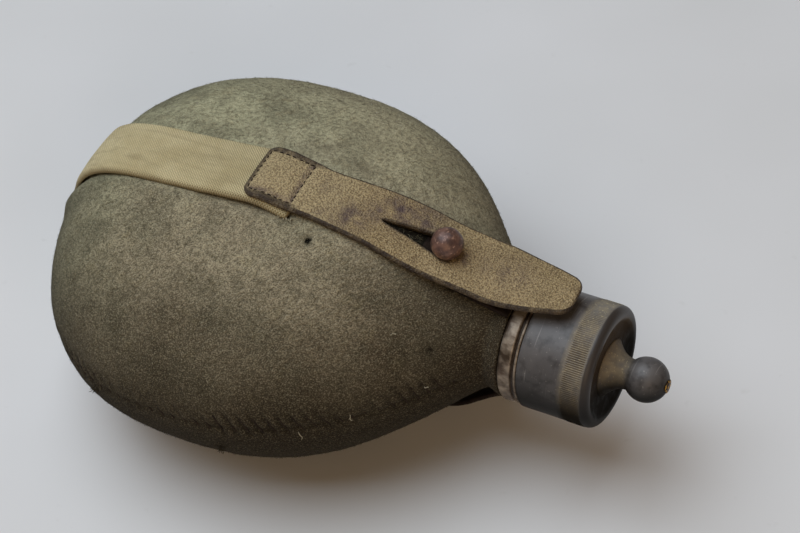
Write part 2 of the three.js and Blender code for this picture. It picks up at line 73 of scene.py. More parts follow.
# Felt cover
HALF_WIDTH = 72
BASE_LENGTH = 68.5
SHOULDER_LENGTH = 89
FRONT_DEPTH = 41
BACK_DEPTH = 50
FELT_END = 94.8
FELT_NECK_RADIUS = 17
FELT_LIP = 2.1
FELT_HOLE = 14.7
FLOOR = -47.8
FLOOR_GAP = 0.02
CHANNEL = -45.5
BASE_POWER = (2.5, 4.5)
SHOULDER_POWER = (2.4, 3.2)
SHOULDER_SWEEP = (1.07, 1.6)
FELT_COLUMNS = 160
BASE_ROWS = 84
SHOULDER_ROWS = 116
NECK_STATIONS = 12

# Whip stitches along the felt's seam: how far they reach over and under it
WHIP_PITCH = 4.2
WHIP_OVER = 6.5
WHIP_UNDER = 2.5
WHIP_SLANT = -0.45
WHIP_GROOVE = 0.75
WHIP_RADIUS = 0.3

# Felt nap and fibres
NAP_STRETCH = (1, 1.4, 1)
NAP_TURN = math.radians(-40)
FIBRES = 13000
FIBRE_LENGTH = (0.7, 2.4)
FIBRE_WIDTH = (0.05, 0.1)

# Small damage seen on the felt: place, radius, depth
FELT_TEAR = (32, -17.5, 38.1)
FELT_PITS = ((FELT_TEAR, 1.3, 1.4), ((76.5, -25.3, 13.8), 1.2, 0.6), ((49, -34, 30), 0.9, 0.5),
             ((21.5, -12.4, 40), 1.2, 1))

# Lint and stray threads seen on the felt: where each starts and how long it is
LINT = (((46.4, -59.7, -1.4), 4.5), ((60.1, -49.3, -1.2), 4), ((76.8, -31.5, 3.4), 1.5),
        ((54.7, 20.4, 31.2), 9), ((-15, -25.7, 38.3), 1.8), ((29, -52, 22), 2.5), ((66, -30, 21), 2))
LINT_RADIUS = 0.14

# Tufts of fibre standing out of the seam
TUFTS = ((-24, -69.2, -2.9), (21.1, -68.1, -11.8))
TUFT_THREADS = 24
TUFT_LENGTH = 2.2
TUFT_RADIUS = 0.1

# Webbing strap, with how far it stands over its seat on the front by station
STUD_X = 69.5
SKEW = math.radians(2)
STRAP_HALF = 11.5
STRAP_TOP = 2.2
STRAP_FRONT_END = 21.5
STRAP_BACK_END = 66
STRAP_STEP = 0.7
STRAP_EDGE = 0.9
STRAP_LIFT = ((-69, 0), (-60, -0.2), (-52, 0.2), (-42, 0), (-30, -0.5), (-15, -0.1), (0, 1.2), (8, 1.6),
              (14, 0.8), (20, -0.4), (26, -0.8))
STRAP_SINKS_BELOW = (33, 21)
STRAP_SINKS_BEYOND = (-38, -56)
WEAVE = 0.95
FRAY_THREADS = 14
FRAY_RADIUS = 0.12
FRAY_BOX = ((18.5, 24), (-12.1, -11), (41.2, 40))

# Leather tongue: its underside and half its width by station, and its slit
LEATHER = 2
TONGUE_START = 5.5
TONGUE_FOLD = 25.4
TONGUE_TIP = 114.3
TONGUE_LINE = ((5.5, 44.5), (9, 44.8), (14, 44.3), (18.5, 43.2), (22, 42.5), (26, 41.5), (33, 39.7),
               (48.7, 36), (58, 33.1), (67.7, 30.2), (78, 27.7), (88, 25.7), (97.5, 24.5), (108, 24.1),
               (114.8, 23.6))
TONGUE_PLAN = ((5.5, 11.3), (14, 11.3), (20, 11.1), (28, 10.6), (36, 11), (45, 11.6), (58, 12.6), (70, 12.4),
               (81, 12.2), (89, 12.2), (98, 10.9), (106, 9.2), (110, 8.2), (114.5, 7.2))
TONGUE_SHIFT = 1.25
TONGUE_SHIFT_SPAN = (22, 58)
TONGUE_SHADE = (44, 76)
PALE_SPAN = (46, 30)
TONGUE_ROOT_CORNER = 4
TONGUE_CORNER = 4
LEATHER_EDGE = 0.8
SLIT_START = 48.8
SLIT_HOLE = 4.2
SLIT_BLUNT = 0.6

# Stains seen on the tongue: station, place across, radius, strength
STAINS = ((40, -4, 5, 1), (52, 6, 6, 1), (60, 8, 6, 0.9), (47, 2, 4, 0.9), (33, -8, 4, 0.5), (29, 3, 4, 0.3),
          (92, 2, 6, 0.5), (84, 2, 4, 0.35), (76, 0, 3, 0.7))

# Sewing thread, and the loop that it makes on the tongue's sewn end
LOOP_START = 7.1
LOOP_END = 21.8
LOOP_HALF = 8.8
STITCH_INSET = 2.2
STITCH_PITCH = 2.2
STITCH_LENGTH = 1.5
THREAD_RADIUS = 0.21
GROOVE_WIDTH = 0.9
GROOVE_DEPTH = 0.4

# Leather yoke round the neck
YOKE = 1.8
YOKE_HALF = 9
YOKE_BACK = 93.2
YOKE_HOLE = 14.3
YOKE_RIM = 18.8
YOKE_DISC = 18
YOKE_FOOT = 92.9
YOKE_RISE = math.radians(18)
YOKE_FRONT_END = 62
YOKE_LAP = 12
YOKE_SEAT = 2.6
YOKE_EDGE = 0.7

# Stud on the yoke
STUD_BALL = 5.2
STUD_HEIGHT = 7.2
STUD_NECK = 2.2

# Collar, cap and knob, turned about the neck axis
BARREL_BORE = 14.3
BARREL_RADIUS = 16.1
BARREL_END = 117.9
FLANGE_BACK = 95.3
FLANGE_FRONT = 99.9
FLANGE_RADIUS = 19.6
FLANGE_ROUND = 1.3
GROOVE_RADIUS = 18.3
BEAD_BACK = 100.8
BEAD_FRONT = 101.9
BEAD_RADIUS = 19.3
CAP_REAR = 102.2
CAP_FRONT = 126.4
CAP_RADIUS = 20
CAP_BORE = 18.1
CAP_ROUND = 2.4
CAP_DISH = 125.4
CAP_ROOF = 123.4
KNURL_BACK = 117.4
KNURL_FRONT = 123.9
KNURL_DEPTH = 0.3
KNURL_COUNT = 180
KNOB_FOOT = 9.6
KNOB_NECK = 5
KNOB_FLARE = 2.2
KNOB_CENTRE = 138
KNOB_RADIUS = 7.25
KNOB_FLAT = 144.876
RIVET_BACK = 119.9
RIVET_SEAT = 121
RIVET_RADIUS = 1.5
RIVET_HOLE = 1.8
PEEN_RADIUS = 2.3
PEEN_HEIGHT = 0.45
PITCH = 4
THREAD_HEIGHT = 1.4
THREAD_TURNS = 2.6
THREAD_START = 104.35

# The frame's place in the part: the cap's rear rim and its axis
cap_low, cap_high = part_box("cap_shell")
ORIGIN = np.array((cap_low.x - CAP_REAR * MM, 0, (cap_low.z + cap_high.z) / 2))


def place(point):
    """A point in millimetres as a point in the part's frame, in metres"""
    return Vector(ORIGIN + np.asarray(point, float) * MM)


def smoothstep(low, high, value):
    share = min(max((value - low) / (high - low), 0), 1)
    return share * share * (3 - 2 * share)


def hump(distance, width):
    """1 at no distance, falling to nothing beyond about two widths"""
    return math.exp(-((distance / width) ** 2))


def curve(points):
    """A smooth line through (station, value) points, as a function that gives its value and slope"""
    stations = np.array([p[0] for p in points], float)
    values = np.array([p[1] for p in points], float)
    slopes = np.gradient(values, stations)

    def at(x):
        k = int(np.clip(np.searchsorted(stations, x) - 1, 0, len(stations) - 2))
        span = stations[k + 1] - stations[k]
        t = (x - stations[k]) / span
        rise = values[k + 1] - values[k]
        first = slopes[k] * span - rise
        last = rise - slopes[k + 1] * span
        bend = first * (1 - t) + last * t
        slope = (rise + (1 - 2 * t) * bend + t * (1 - t) * (last - first)) / span
        return values[k] + t * rise + t * (1 - t) * bend, slope

    return at


def add_mesh(name, points, faces, **values):
    """A smooth object from points in millimetres, with named values at its points"""
    mesh = bpy.data.meshes.new(name)
    mesh.from_pydata((ORIGIN + np.asarray(points, float) * MM).tolist(), [], faces)
    mesh.shade_smooth()
    for key, numbers in values.items():
        layer = mesh.attributes.new(key, "FLOAT", "POINT")
        layer.data.foreach_set("value", np.asarray(numbers, np.float32))
    obj = bpy.data.objects.new(name, mesh)
    bpy.context.scene.collection.objects.link(obj)
    return obj


def grid_faces(rows, columns, wrap=False, ring=False, start=0):
    """Quads over a grid of points, its columns closed if wrapped and its rows closed if a ring"""
    faces = []
    for i in range(rows if ring else rows - 1):
        low = start + i * columns
        high = start + (i + 1) % rows * columns
        for j in range(columns if wrap else columns - 1):
            k = (j + 1) % columns
            faces.append((low + j, low + k, high + k, high + j))
    return faces


def tube_faces(rows, columns):
    """Quads along a closed tube, with a face over each end"""
    last = (rows - 1) * columns
    ends = [tuple(range(columns))[::-1], tuple(range(last, last + columns))]
    return grid_faces(rows, columns, wrap=True) + ends


def joined(name, shapes, **values):
    """One object from several shapes, each its points and faces"""
    points = []
    faces = []
    for more, quads in shapes:
        faces += [tuple(len(points) + k for k in face) for face in quads]
        points += [tuple(p) for p in more]
    return add_mesh(name, points, faces, **values)


def outward_from(line):
    """Directions square to a line of (x, z) places, away from the flask"""
    along = np.gradient(line, axis=0)
    along /= np.linalg.norm(along, axis=1, keepdims=True)
    return np.stack((along[:, 1], -along[:, 0]), axis=1)


def around(x, radius, angle):
    """A point round the neck axis"""
    return x, radius * math.cos(angle), radius * math.sin(angle)


def skewed(points):
    """Points of the strap's own plane, turned in plan about the stud"""
    points = np.asarray(points, float)
    x = points[..., 0] - STUD_X
    y = points[..., 1]
    turned = points.copy()
    turned[..., 0] = STUD_X + x * math.cos(SKEW) - y * math.sin(SKEW)
    turned[..., 1] = x * math.sin(SKEW) + y * math.cos(SKEW)
    return turned


def strap_place(x, y):
    """Station along the strap and place across it, for a place in plan"""
    along = STUD_X + (x - STUD_X) * math.cos(SKEW) + y * math.sin(SKEW)
    return along, y * math.cos(SKEW) - (x - STUD_X) * math.sin(SKEW)


def section(x):
    """Half width, front depth and back depth of the felt at a station"""
    if x < 0:
        share = [math.sqrt(max(0, 1 - min(-x / BASE_LENGTH, 1) ** power)) for power in BASE_POWER]
        return HALF_WIDTH * share[0], FRONT_DEPTH * share[1], BACK_DEPTH * share[1]
    station = min(x / SHOULDER_LENGTH, 1)
    share = [(1 - station**power) ** sweep for power, sweep in zip(SHOULDER_POWER, SHOULDER_SWEEP)]
    lip = FELT_LIP * max(0, x - SHOULDER_LENGTH) / (FELT_END - SHOULDER_LENGTH)
    neck = FELT_NECK_RADIUS
    sizes = ((HALF_WIDTH, share[0]), (FRONT_DEPTH, share[1]), (BACK_DEPTH, share[1]))
    return tuple(neck + lip + (size - neck) * part for size, part in sizes)


def wander(point, size, seed):
    """Smooth noise between about -1 and 1, with features of a size in millimetres"""
    return noise.noise(Vector((point[0] / size + seed, point[1] / size - seed, point[2] / size + 3 * seed)))


# Materials


def srgb(*values):
    """A colour written in 0 to 255 steps, as linear light"""
    return tuple(((v / 255 + 0.055) / 1.055) ** 2.4 if v > 10 else v / 3295 for v in values) + (1,)


class Look:
    """A material whose colour is painted on in layers, with grain of sizes in millimetres"""

    def __init__(self, name, colour):
        self.made = bpy.data.materials.new(name)
        self.made.use_nodes = True
        self.tree = self.made.node_tree
        self.colour = srgb(*colour)
        self.where = self.node("ShaderNodeTexCoord").outputs["Object"]

    def feed(self, socket, value):
        """Gives a socket a number, a colour or another node's output"""
        if isinstance(value, bpy.types.NodeSocket):
            self.tree.links.new(value, socket)
        else:
            socket.default_value = value

    def node(self, kind, inputs=None, **settings):
        made = self.tree.nodes.new(kind)
        for key, value in settings.items():
            setattr(made, key, value)
        for key, value in (inputs or {}).items():
            self.feed(made.inputs[key], value)
        return made

    def spot(self):
        """The place in the part's frame, in metres, as x, y and z"""
        return self.node("ShaderNodeSeparateXYZ", {0: self.where}).outputs

    def grain(self, size, detail=3, stretch=None, turn=0):
        """Noise with features of a size, longer along some axes"""
        where = self.where
        if stretch:
            inputs = {"Vector": where, "Rotation": (0, 0, turn), "Scale": stretch}
            where = self.node("ShaderNodeMapping", inputs, vector_type="TEXTURE").outputs[0]
        inputs = {"Vector": where, "Scale": 1 / (size * MM), "Detail": detail}
        return self.node("ShaderNodeTexNoise", inputs).outputs[0]

    def cells(self, size):
        return self.node("ShaderNodeTexVoronoi", {"Vector": self.where, "Scale": 1 / (size * MM)}).outputs[0]

    def attribute(self, name):
        return self.node("ShaderNodeAttribute", attribute_name=name).outputs["Fac"]

    def ramp(self, factor, low, high, start=0, end=1):
        """A value mapped from one range to another"""
        inputs = {"Value": factor, "From Min": low, "From Max": high, "To Min": start, "To Max": end}
        return self.node("ShaderNodeMapRange", inputs).outputs[0]

    def calc(self, operation, first, second=0):
        return self.node("ShaderNodeMath", {0: first, 1: second}, operation=operation).outputs[0]

    def plus(self, first, second):
        return self.calc("ADD", first, second)

    def times(self, first, second):
        return self.calc("MULTIPLY", first, second)

    def paint(self, factor, colour):
        """Lays a colour over what is there"""
        inputs = {0: factor, 6: self.colour, 7: srgb(*colour)}
        self.colour = self.node("ShaderNodeMix", inputs, data_type="RGBA").outputs[2]

    def fade(self, value, *span_and_colour):
        """Lays a colour over where a value runs through a span, as ramp() says it"""
        *span, colour = span_and_colour
        self.paint(self.ramp(value, *span), colour)

    def mottle(self, size, detail, low, high, strength, colour):
        """Lays a colour over in patches, where noise rises from low to high"""
        self.fade(self.grain(size, detail), low, high, 0, strength, colour)

    def done(self, heights=(), rough=0.9, shine=0.5, **sockets):
        """The material, with a normal from several (height, strength, depth in millimetres)"""
        sockets.update(Base_Color=self.colour, Roughness=rough, Specular_IOR_Level=shine)
        for height, strength, depth in heights:
            inputs = {"Height": height, "Strength": strength, "Distance": depth * MM}
            if "Normal" in sockets:
                inputs["Normal"] = sockets["Normal"]
            sockets["Normal"] = self.node("ShaderNodeBump", inputs).outputs[0]
        shader = self.tree.nodes["Principled BSDF"]
        for key, value in sockets.items():
            self.feed(shader.inputs[key.replace("_", " ")], value)
        return self.made


def felt_material():
    m = Look("felt", (200, 195, 158))
    x, y, z = m.spot()
    # Browner and darker towards the near side by the neck: partly dirt, partly painted shade
    side = m.plus(m.times(x, 0.55), m.times(y, -0.8))
    side = m.plus(side, m.ramp(m.grain(30, 4), 0.3, 0.7, -0.02, 0.02))
    m.fade(side, -0.05, 0.012, (183, 169, 139))
    m.fade(side, 0.018, 0.055, 0, 0.8, (112, 94, 72))
    m.mottle(20, 5, 0.48, 0.66, 0.45, (96, 95, 76))
    m.mottle(7, 5, 0.5, 0.72, 0.5, (96, 89, 70))
    m.mottle(5, 4, 0.56, 0.74, 0.4, (184, 168, 128))
    # Painted light: the far shoulder is painted paler, for light that falls on it
    far = m.plus(m.times(x, 0.4), m.times(y, 0.9))
    m.fade(far, 0.01, 0.04, 0, 0.5, (228, 213, 172))
    # Painted shade: darker out towards the near edge
    m.fade(y, -0.035, -0.058, 0, 0.4, (66, 58, 44))
    # Painted shade: darker on the near side below the tongue's edge, where the tongue's shadow falls
    beside = m.times(m.ramp(x, 0.008, 0.034), m.ramp(y, -0.045, -0.018))
    m.paint(m.times(beside, m.ramp(y, 0.012, -0.004, 0, 0.5)), (56, 47, 36))
    nap = m.grain(0.38, 3, NAP_STRETCH, NAP_TURN)
    fuzz = m.grain(1.2, 5, NAP_STRETCH, NAP_TURN)
    sharp = m.ramp(y, 0.02, -0.02, 0.5, 1)
    m.paint(m.times(m.ramp(nap, 0.34, 0.6, 0.7, 0), sharp), (50, 45, 34))
    m.paint(m.times(m.ramp(nap, 0.52, 0.74, 0, 0.5), sharp), (204, 194, 164))
    m.fade(fuzz, 0.34, 0.56, 0.42, 0, (64, 58, 46))
    # Painted shade: darker green towards the base end
    m.fade(x, -0.06, -0.1, 0, 0.4, (84, 86, 68))
    # Painted shade: nearly black towards the bottom, where the felt turns away from the light
    m.fade(z, 0.085, 0.04, 0, 0.97, (38, 32, 22))
    # Darker towards the neck: partly dirt, partly painted shade
    m.fade(x, 0.03, 0.056, 0, 0.4, (52, 43, 33))
    m.fade(nap, 0.54, 0.7, 0, 0.4, (150, 138, 112))
    # Painted shade in the seam, the whip grooves and the pits and under the tongue, with some grime
    m.paint(m.attribute("dirt"), (26, 22, 16))
    # Painted shade: the tear's hole is painted near black
    inputs = {0: m.where, 1: place(FELT_TEAR)}
    away = m.node("ShaderNodeVectorMath", inputs, operation="DISTANCE").outputs["Value"]
    away = m.plus(away, m.ramp(fuzz, 0.3, 0.7, -0.3 * MM, 0.3 * MM))
    m.fade(away, 1.25 * MM, 0.85 * MM, (16, 13, 9))
    heights = ((m.grain(3, 4), 0.6, 0.8), (fuzz, 1, 0.9), (nap, 1, 0.5))
    return m.done(heights, rough=0.97, shine=0.05, Sheen_Weight=0.03)


def fibre_material():
    m = Look("felt fibres", (76, 70, 52))
    m.paint(m.attribute("tone"), (186, 176, 146))
    m.mottle(3, 3, 0.3, 0.7, 1, (112, 104, 80))
    # Painted shade: darker towards the bottom
    m.fade(m.spot()[2], 0.085, 0.045, 0, 0.9, (48, 41, 30))
    return m.done(rough=0.95, shine=0.1)


def webbing_material():
    m = Look("webbing", (219, 203, 158))
    m.mottle(9, 5, 0.35, 0.65, 1, (204, 187, 142))
    m.fade(m.grain(2.2, 4, (8, 1, 1)), 0.5, 0.75, 0, 0.5, (154, 138, 104))
    turn = 2 * math.pi / WEAVE
    warp, weft = [m.calc("SINE", m.times(m.attribute(name), turn)) for name in ("across", "along")]
    weave = m.times(warp, weft)
    # Painted shade in the hollows of the weave, stronger towards the tab
    clear = m.times(m.ramp(weave, 0.3, -1), m.ramp(m.spot()[0], -0.09, -0.03, 0.5, 1))
    m.paint(clear, (112, 96, 64))
    # Grime at the frayed end, and darker along both edges, partly painted shade
    m.paint(m.attribute("dirt"), (84, 70, 46))
    heights = ((weave, 0.8, 0.2), (m.grain(0.6), 0.6, 0.25))
    return m.done(heights, rough=0.93, shine=0.15, Sheen_Weight=0.1)


def leather_material():
    m = Look("leather", (178, 155, 114))
    m.mottle(16, 5, 0.35, 0.65, 1, (160, 138, 98))
    m.mottle(5, 5, 0.52, 0.75, 0.7, (122, 101, 70))
    pebble = m.grain(0.48, 2)
    cells = m.cells(0.64)
    m.paint(m.times(m.attribute("pale"), 0.6), (206, 186, 142))
    m.fade(cells, 0.25, 0.7, 0, 0.62, (84, 66, 42))
    m.fade(pebble, 0.48, 0.7, 0, 0.5, (226, 202, 156))
    m.paint(m.times(m.attribute("stain"), m.ramp(m.grain(3.5, 4), 0.3, 0.6)), (88, 72, 70))
    edge = m.attribute("edge")
    m.paint(m.times(edge, m.ramp(m.grain(4, 4), 0.25, 0.55, 0.55, 1)), (47, 35, 28))
    heights = ((m.grain(3.2), 0.25, 0.4), (cells, 0.9, -0.45), (pebble, 1, 0.45))
    return m.done(heights, rough=m.ramp(edge, 0, 1, 0.62, 0.55), shine=0.35)


def yoke_material():
    # Dark leather, made darker still: painted shade, for the yoke lies in shadow under the tongue and below
    # the neck
    m = Look("yoke leather", (40, 29, 23))
    m.mottle(8, 5, 0.35, 0.65, 1, (26, 19, 15))
    pebble = m.cells(1.1)
    m.fade(pebble, 0.4, 0.8, 0, 0.5, (18, 13, 10))
    return m.done([(pebble, 0.6, -0.25)], rough=0.8, shine=0.12)


def thread_material():
    m = Look("thread", (30, 22, 17))
    m.mottle(2, 3, 0.3, 0.7, 1, (54, 42, 31))
    inputs = {"Scale": 700, "Distortion": 2, "Vector": m.where}
    twist = m.node("ShaderNodeTexWave", inputs, bands_direction="DIAGONAL").outputs[1]
    return m.done([(twist, 0.6, 0.15)], shine=0.2)


def lint_material():
    m = Look("lint", (196, 186, 160))
    m.mottle(1.5, 3, 0.35, 0.65, 1, (150, 140, 112))
    return m.done()


def cap_material():
    m = Look("cap metal", (86, 83, 82))
    dust, dirt, low = [m.attribute(name) for name in ("dust", "dirt", "low")]
    m.mottle(11, 5, 0.35, 0.65, 1, (103, 99, 97))
    m.mottle(3, 6, 0.5, 0.7, 0.7, (56, 53, 51))
    scratch = m.grain(0.8, 2, (1, 20, 20))
    m.fade(scratch, 0.66, 0.74, 0, 0.45, (158, 153, 148))
    m.mottle(0.9, 3, 0.66, 0.74, 0.5, (170, 165, 154))
    m.paint(m.attribute("rim"), (58, 52, 48))
    dusty = m.times(dust, m.ramp(m.grain(2.8, 5), 0.3, 0.62, 0.35, 1))
    m.paint(dusty, (146, 134, 112))
    m.paint(m.times(dust, m.ramp(m.grain(0.7, 2), 0.62, 0.7)), (172, 158, 128))
    # Darker in the knurl's hollows, and on the face: grime, and painted shade on the face
    m.paint(dirt, (62, 49, 36))
    # Painted shade: near black on the low side
    m.paint(low, (17, 15, 12))
    heights = ((m.grain(4), 0.12, 0.3), (m.grain(0.7), 0.3, 0.1))
    # Less shine on the painted shade of the low side, and where it is darker for grime or painted shade
    shine = m.ramp(m.calc("MAXIMUM", low, dirt), 0, 1, 0.4, 0.06)
    return m.done(heights, rough=m.ramp(dusty, 0, 1, 0.42, 0.92), shine=shine)


def collar_material():
    m = Look("collar metal", (152, 138, 121))
    m.mottle(5, 5, 0.4, 0.6, 1, (70, 57, 45))
    m.fade(m.grain(1.3, 4, (2.5, 1, 1)), 0.5, 0.74, (78, 60, 46))
    # Darker in the groove before the bead
    m.paint(m.attribute("dirt"), (40, 28, 20))
    rough = m.ramp(m.grain(3, 4), 0.3, 0.7, 0.34, 0.6)
    return m.done([(m.grain(1.6, 4), 0.35, 0.2)], rough, Metallic=0.5)


def stud_material():
    m = Look("stud metal", (124, 92, 79))
    m.mottle(2.6, 5, 0.38, 0.62, 1, (82, 60, 54))
    m.mottle(1.1, 4, 0.58, 0.72, 0.8, (190, 152, 130))
    heights = ((m.grain(2.2, 4), 0.5, 0.4), (m.grain(0.8), 0.4, 0.15))
    return m.done(heights, rough=0.42, Metallic=0.25)


def brass_material():
    m = Look("brass", (48, 36, 26))
    m.mottle(0.8, 4, 0.5, 0.62, 1, (220, 168, 70))
    rough = m.ramp(m.grain(1.2), 0.35, 0.65, 0.3, 0.6)
    return m.done([(m.grain(0.8), 0.7, 0.3)], rough, Metallic=0.7)


def aluminium_material():
    m = Look("flask metal", (184, 182, 176))
    m.mottle(9, 5, 0.35, 0.65, 1, (160, 157, 150))
    return m.done([(m.grain(1.2, 3, (10, 1, 1)), 0.2, 0.1)], rough=0.38, Metallic=0.9)


def cork_material():
    m = Look("cork", (186, 140, 92))
    cells = m.cells(1.3)
    m.fade(cells, 0.3, 0.8, (120, 82, 48))
    return m.done([(cells, 0.4, -0.2)])


def floor_material():
    m = Look("floor", (228, 227, 226))
    m.mottle(160, 3, 0.35, 0.65, 1, (221, 220, 218))
    m.mottle(7, 3, 0.68, 0.8, 0.3, (204, 202, 198))
    return m.done(rough=0.7, shine=0.15)


def finish(obj, made, slot, *stands_for, body="flask"):
    """Gives a piece its material and body, and hides the solids that it stands for; its slot is not used"""
    obj.data.materials.append(made)
    if body:
        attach(obj, body)
    if stands_for:
        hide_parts(*stands_for)


felt_look = felt_material()
fibre_look = fibre_material()
thread_look = thread_material()
yoke_look = yoke_material()
cap_look = cap_material()
brass_look = brass_material()

# Felt cover: two halves sewn together round the seam

felt_stations = [-BASE_LENGTH * math.cos(math.pi / 2 * i / BASE_ROWS) for i in range(BASE_ROWS)]
felt_stations += [SHOULDER_LENGTH * i / SHOULDER_ROWS for i in range(SHOULDER_ROWS + 1)]
felt_stations += [SHOULDER_LENGTH + 1.5, SHOULDER_LENGTH + 3, FELT_END - 0.6]
felt_sections = [(x, *section(x)) for x in felt_stations]
felt_sections += [(FELT_END, r, r, r) for r in (18.9, 18, 16.6, 15.2)]
felt_sections.append((FELT_END - 1.5, FELT_HOLE, FELT_HOLE, FELT_HOLE))

# Length along the seam at each station, for the whip stitches
seam_length = [0.0]
for before, after in zip(felt_sections, felt_sections[1:]):
    seam_length.append(seam_length[-1] + math.hypot(after[0] - before[0], after[1] - before[1]))


def strap_sunk(x, z):
    """How far the strap is pressed into the felt, all the way only round the base"""
    return smoothstep(*STRAP_SINKS_BELOW, abs(z)) * smoothstep(*STRAP_SINKS_BEYOND, x)


def whip_wander(point):
    """How far a whip stitch strays along the seam"""
    return 0.8 * wander(point, 11, 2.9)


def felt_offset(point, length):
    """Height of the felt's lumps, seam and dents at a point, and how dark it is painted there: painted shade
    in the seam, the whip grooves, the pits and under the tongue, with some grime
    """
    x, y, z = point
    height = 0.45 * wander(point, 34, 1.3) + 0.2 * wander(point, 12, 5.1) + 0.14 * wander(point, 3.6, 8.7)
    seam = hump(z, 1.1)
    wave = (length - WHIP_SLANT * z + whip_wander(point)) % WHIP_PITCH - WHIP_PITCH / 2
    reach = smoothstep(-WHIP_UNDER - 1.5, 1.5 - WHIP_UNDER, z) * smoothstep(WHIP_OVER + 2, WHIP_OVER - 3, z)
    drawn = reach * smoothstep(SHOULDER_LENGTH - 2, SHOULDER_LENGTH - 10, x)
    drawn *= 0.3 + 0.7 * smoothstep(12, -12, y)
    drawn *= 0.35 + 0.65 * smoothstep(-0.3, 0.4, wander(point, 17, 4.4))
    whip = drawn * hump(wave, 0.75)
    edge = smoothstep(SHOULDER_LENGTH, SHOULDER_LENGTH - 6, x)
    height -= 0.45 * edge * seam + WHIP_GROOVE * whip
    # Painted shade in the seam's crease and in the whip grooves
    dirt = max(0.3 * edge * seam, 0.7 * whip)
    along, across = strap_place(x, y)
    if along < STRAP_FRONT_END + 4:
        near_end = smoothstep(STRAP_FRONT_END + 4, STRAP_FRONT_END - 2, along)
        seat = near_end * smoothstep(STRAP_HALF + 1, STRAP_HALF - 0.5, abs(across))
        bulge = near_end * hump(abs(across) - STRAP_HALF - 3.5, 2)
        sunk = strap_sunk(x, z)
        height = (1 - seat) * height + (0.3 + 0.8 * sunk) * bulge - (0.4 + 2.2 * sunk) * seat
    # Painted shade on the felt under the tongue, with some grime
    if z > 0 and TONGUE_SHADE[0] < along < TONGUE_SHADE[1]:
        dirt = max(dirt, 0.97 * smoothstep(9, 6, abs(across)))
    # Each pit is dented and painted dark: painted shade in its hollow
    for centre, radius, depth in FELT_PITS:
        near = hump(math.dist(point, centre), radius)
        height -= depth * near
        dirt = max(dirt, near)
    return height, dirt


def felt_floor(point):
    """The lowest that the felt goes at a point: the ground, or the strap's channel"""
    along, across = strap_place(point[0], point[1])
    if abs(across) < STRAP_HALF + 0.3 and along < STRAP_BACK_END + 1:
        return CHANNEL
    return FLOOR + FLOOR_GAP


def felt_half(name, side, stands_for):
    """One half of the cover: a grid of points over the front or the back"""
    steps = np.linspace(0, 1, FELT_COLUMNS)
    angles = math.pi * (0.6 * (1 - np.cos(math.pi * steps)) / 2 + 0.4 * steps)
    grid = np.zeros((len(felt_sections), FELT_COLUMNS, 3))
    for i, (x, width, front, back) in enumerate(felt_sections):
        depth = front if side > 0 else back
        grid[i, :, 0] = x
        grid[i, :, 1] = width * np.cos(angles)
        grid[i, :, 2] = side * depth * np.sin(angles)
    normals = -side * np.cross(np.gradient(grid, axis=0), np.gradient(grid, axis=1))
    normals /= np.maximum(np.linalg.norm(normals, axis=2, keepdims=True), 1e-9)
    normals[0] = (-1, 0, 0)
    dirt = np.zeros(grid.shape[:2])
    for i in range(grid.shape[0]):
        for j in range(grid.shape[1]):
            point = grid[i, j]
            height, dirt[i, j] = felt_offset(point, seam_length[i])
            point += normals[i, j] * height
            point[2] = max(point[2], felt_floor(point))
    faces = grid_faces(len(felt_sections), FELT_COLUMNS)
    if side < 0:
        faces = [face[::-1] for face in faces]
    obj = add_mesh(name, grid.reshape(-1, 3), faces, dirt=dirt.ravel())
    finish(obj, felt_look, "felt", stands_for)
    return grid, normals


def flattened(vector, normal):
    """A vector without its part along a normal"""
    return vector - vector.dot(normal) * normal


def any_way():
    """A random direction, not of unit length"""
    return Vector([random.uniform(-1, 1) for _ in range(3)])


def felt_fibres(name, grid, normals):
    """Short loose fibres lying on a half of the cover"""
    points = []
    faces = []
    tones = []
    rows, columns = grid.shape[:2]
    areas = np.linalg.norm(np.cross(np.gradient(grid, axis=0), np.gradient(grid, axis=1)), axis=2)
    picks = random.choices(range(rows * columns), weights=areas.ravel(), k=FIBRES)
    for pick in picks:
        i, j = divmod(pick, columns)
        normal = Vector(normals[i, j])
        foot = Vector(grid[i, j]) + 0.6 * flattened(any_way(), normal)
        if foot.z < FLOOR + 1.5:
            continue
        heading = flattened(any_way(), normal).normalized()
        length = random.uniform(*FIBRE_LENGTH)
        half = random.uniform(*FIBRE_WIDTH) / 2
        rise = random.uniform(0.05, 0.4)
        bend = normal.cross(heading)
        side = bend * half
        middle = foot + heading * length * 0.5 + normal * rise + bend * random.uniform(-0.3, 0.3)
        tip = foot + heading * length + normal * random.uniform(0, 0.45) + bend * random.uniform(-0.6, 0.6)
        start = len(points)
        for spot in (foot, middle, tip):
            points += [spot - side, spot + side]
        faces += [(start, start + 1, start + 3, start + 2), (start + 2, start + 3, start + 5, start + 4)]
        tones += [random.random() ** 2] * 6
    finish(add_mesh(name, points, faces, tone=tones), fibre_look, "felt")


front_grid, front_normals = felt_half("felt_cover_front", 1, "felt_front")
back_grid, back_normals = felt_half("felt_cover_back", -1, "felt_back")
felt_fibres("felt_fibres_front", front_grid, front_normals)
felt_fibres("felt_fibres_back", back_grid, back_normals)


def tube(points, radius, sides=6):
    """Points and faces of a round thread along a line, tapering at both ends"""
    line = [Vector(p) for p in points]
    rings = []
    for i, spot in enumerate(line):
        heading = (line[min(i + 1, len(line) - 1)] - line[max(i - 1, 0)]).normalized()
        side = heading.orthogonal().normalized()
        other = heading.cross(side)
        share = 0.35 if i in (0, len(line) - 1) else 1
        for k in range(sides):
            angle = 2 * math.pi * k / sides
            rings.append(spot + radius * share * (side * math.cos(angle) + other * math.sin(angle)))
    return rings, tube_faces(len(line), sides)


def add_tubes(name, lines, radius):
    """One object from several threads"""
    return joined(name, [tube(line, radius) for line in lines])


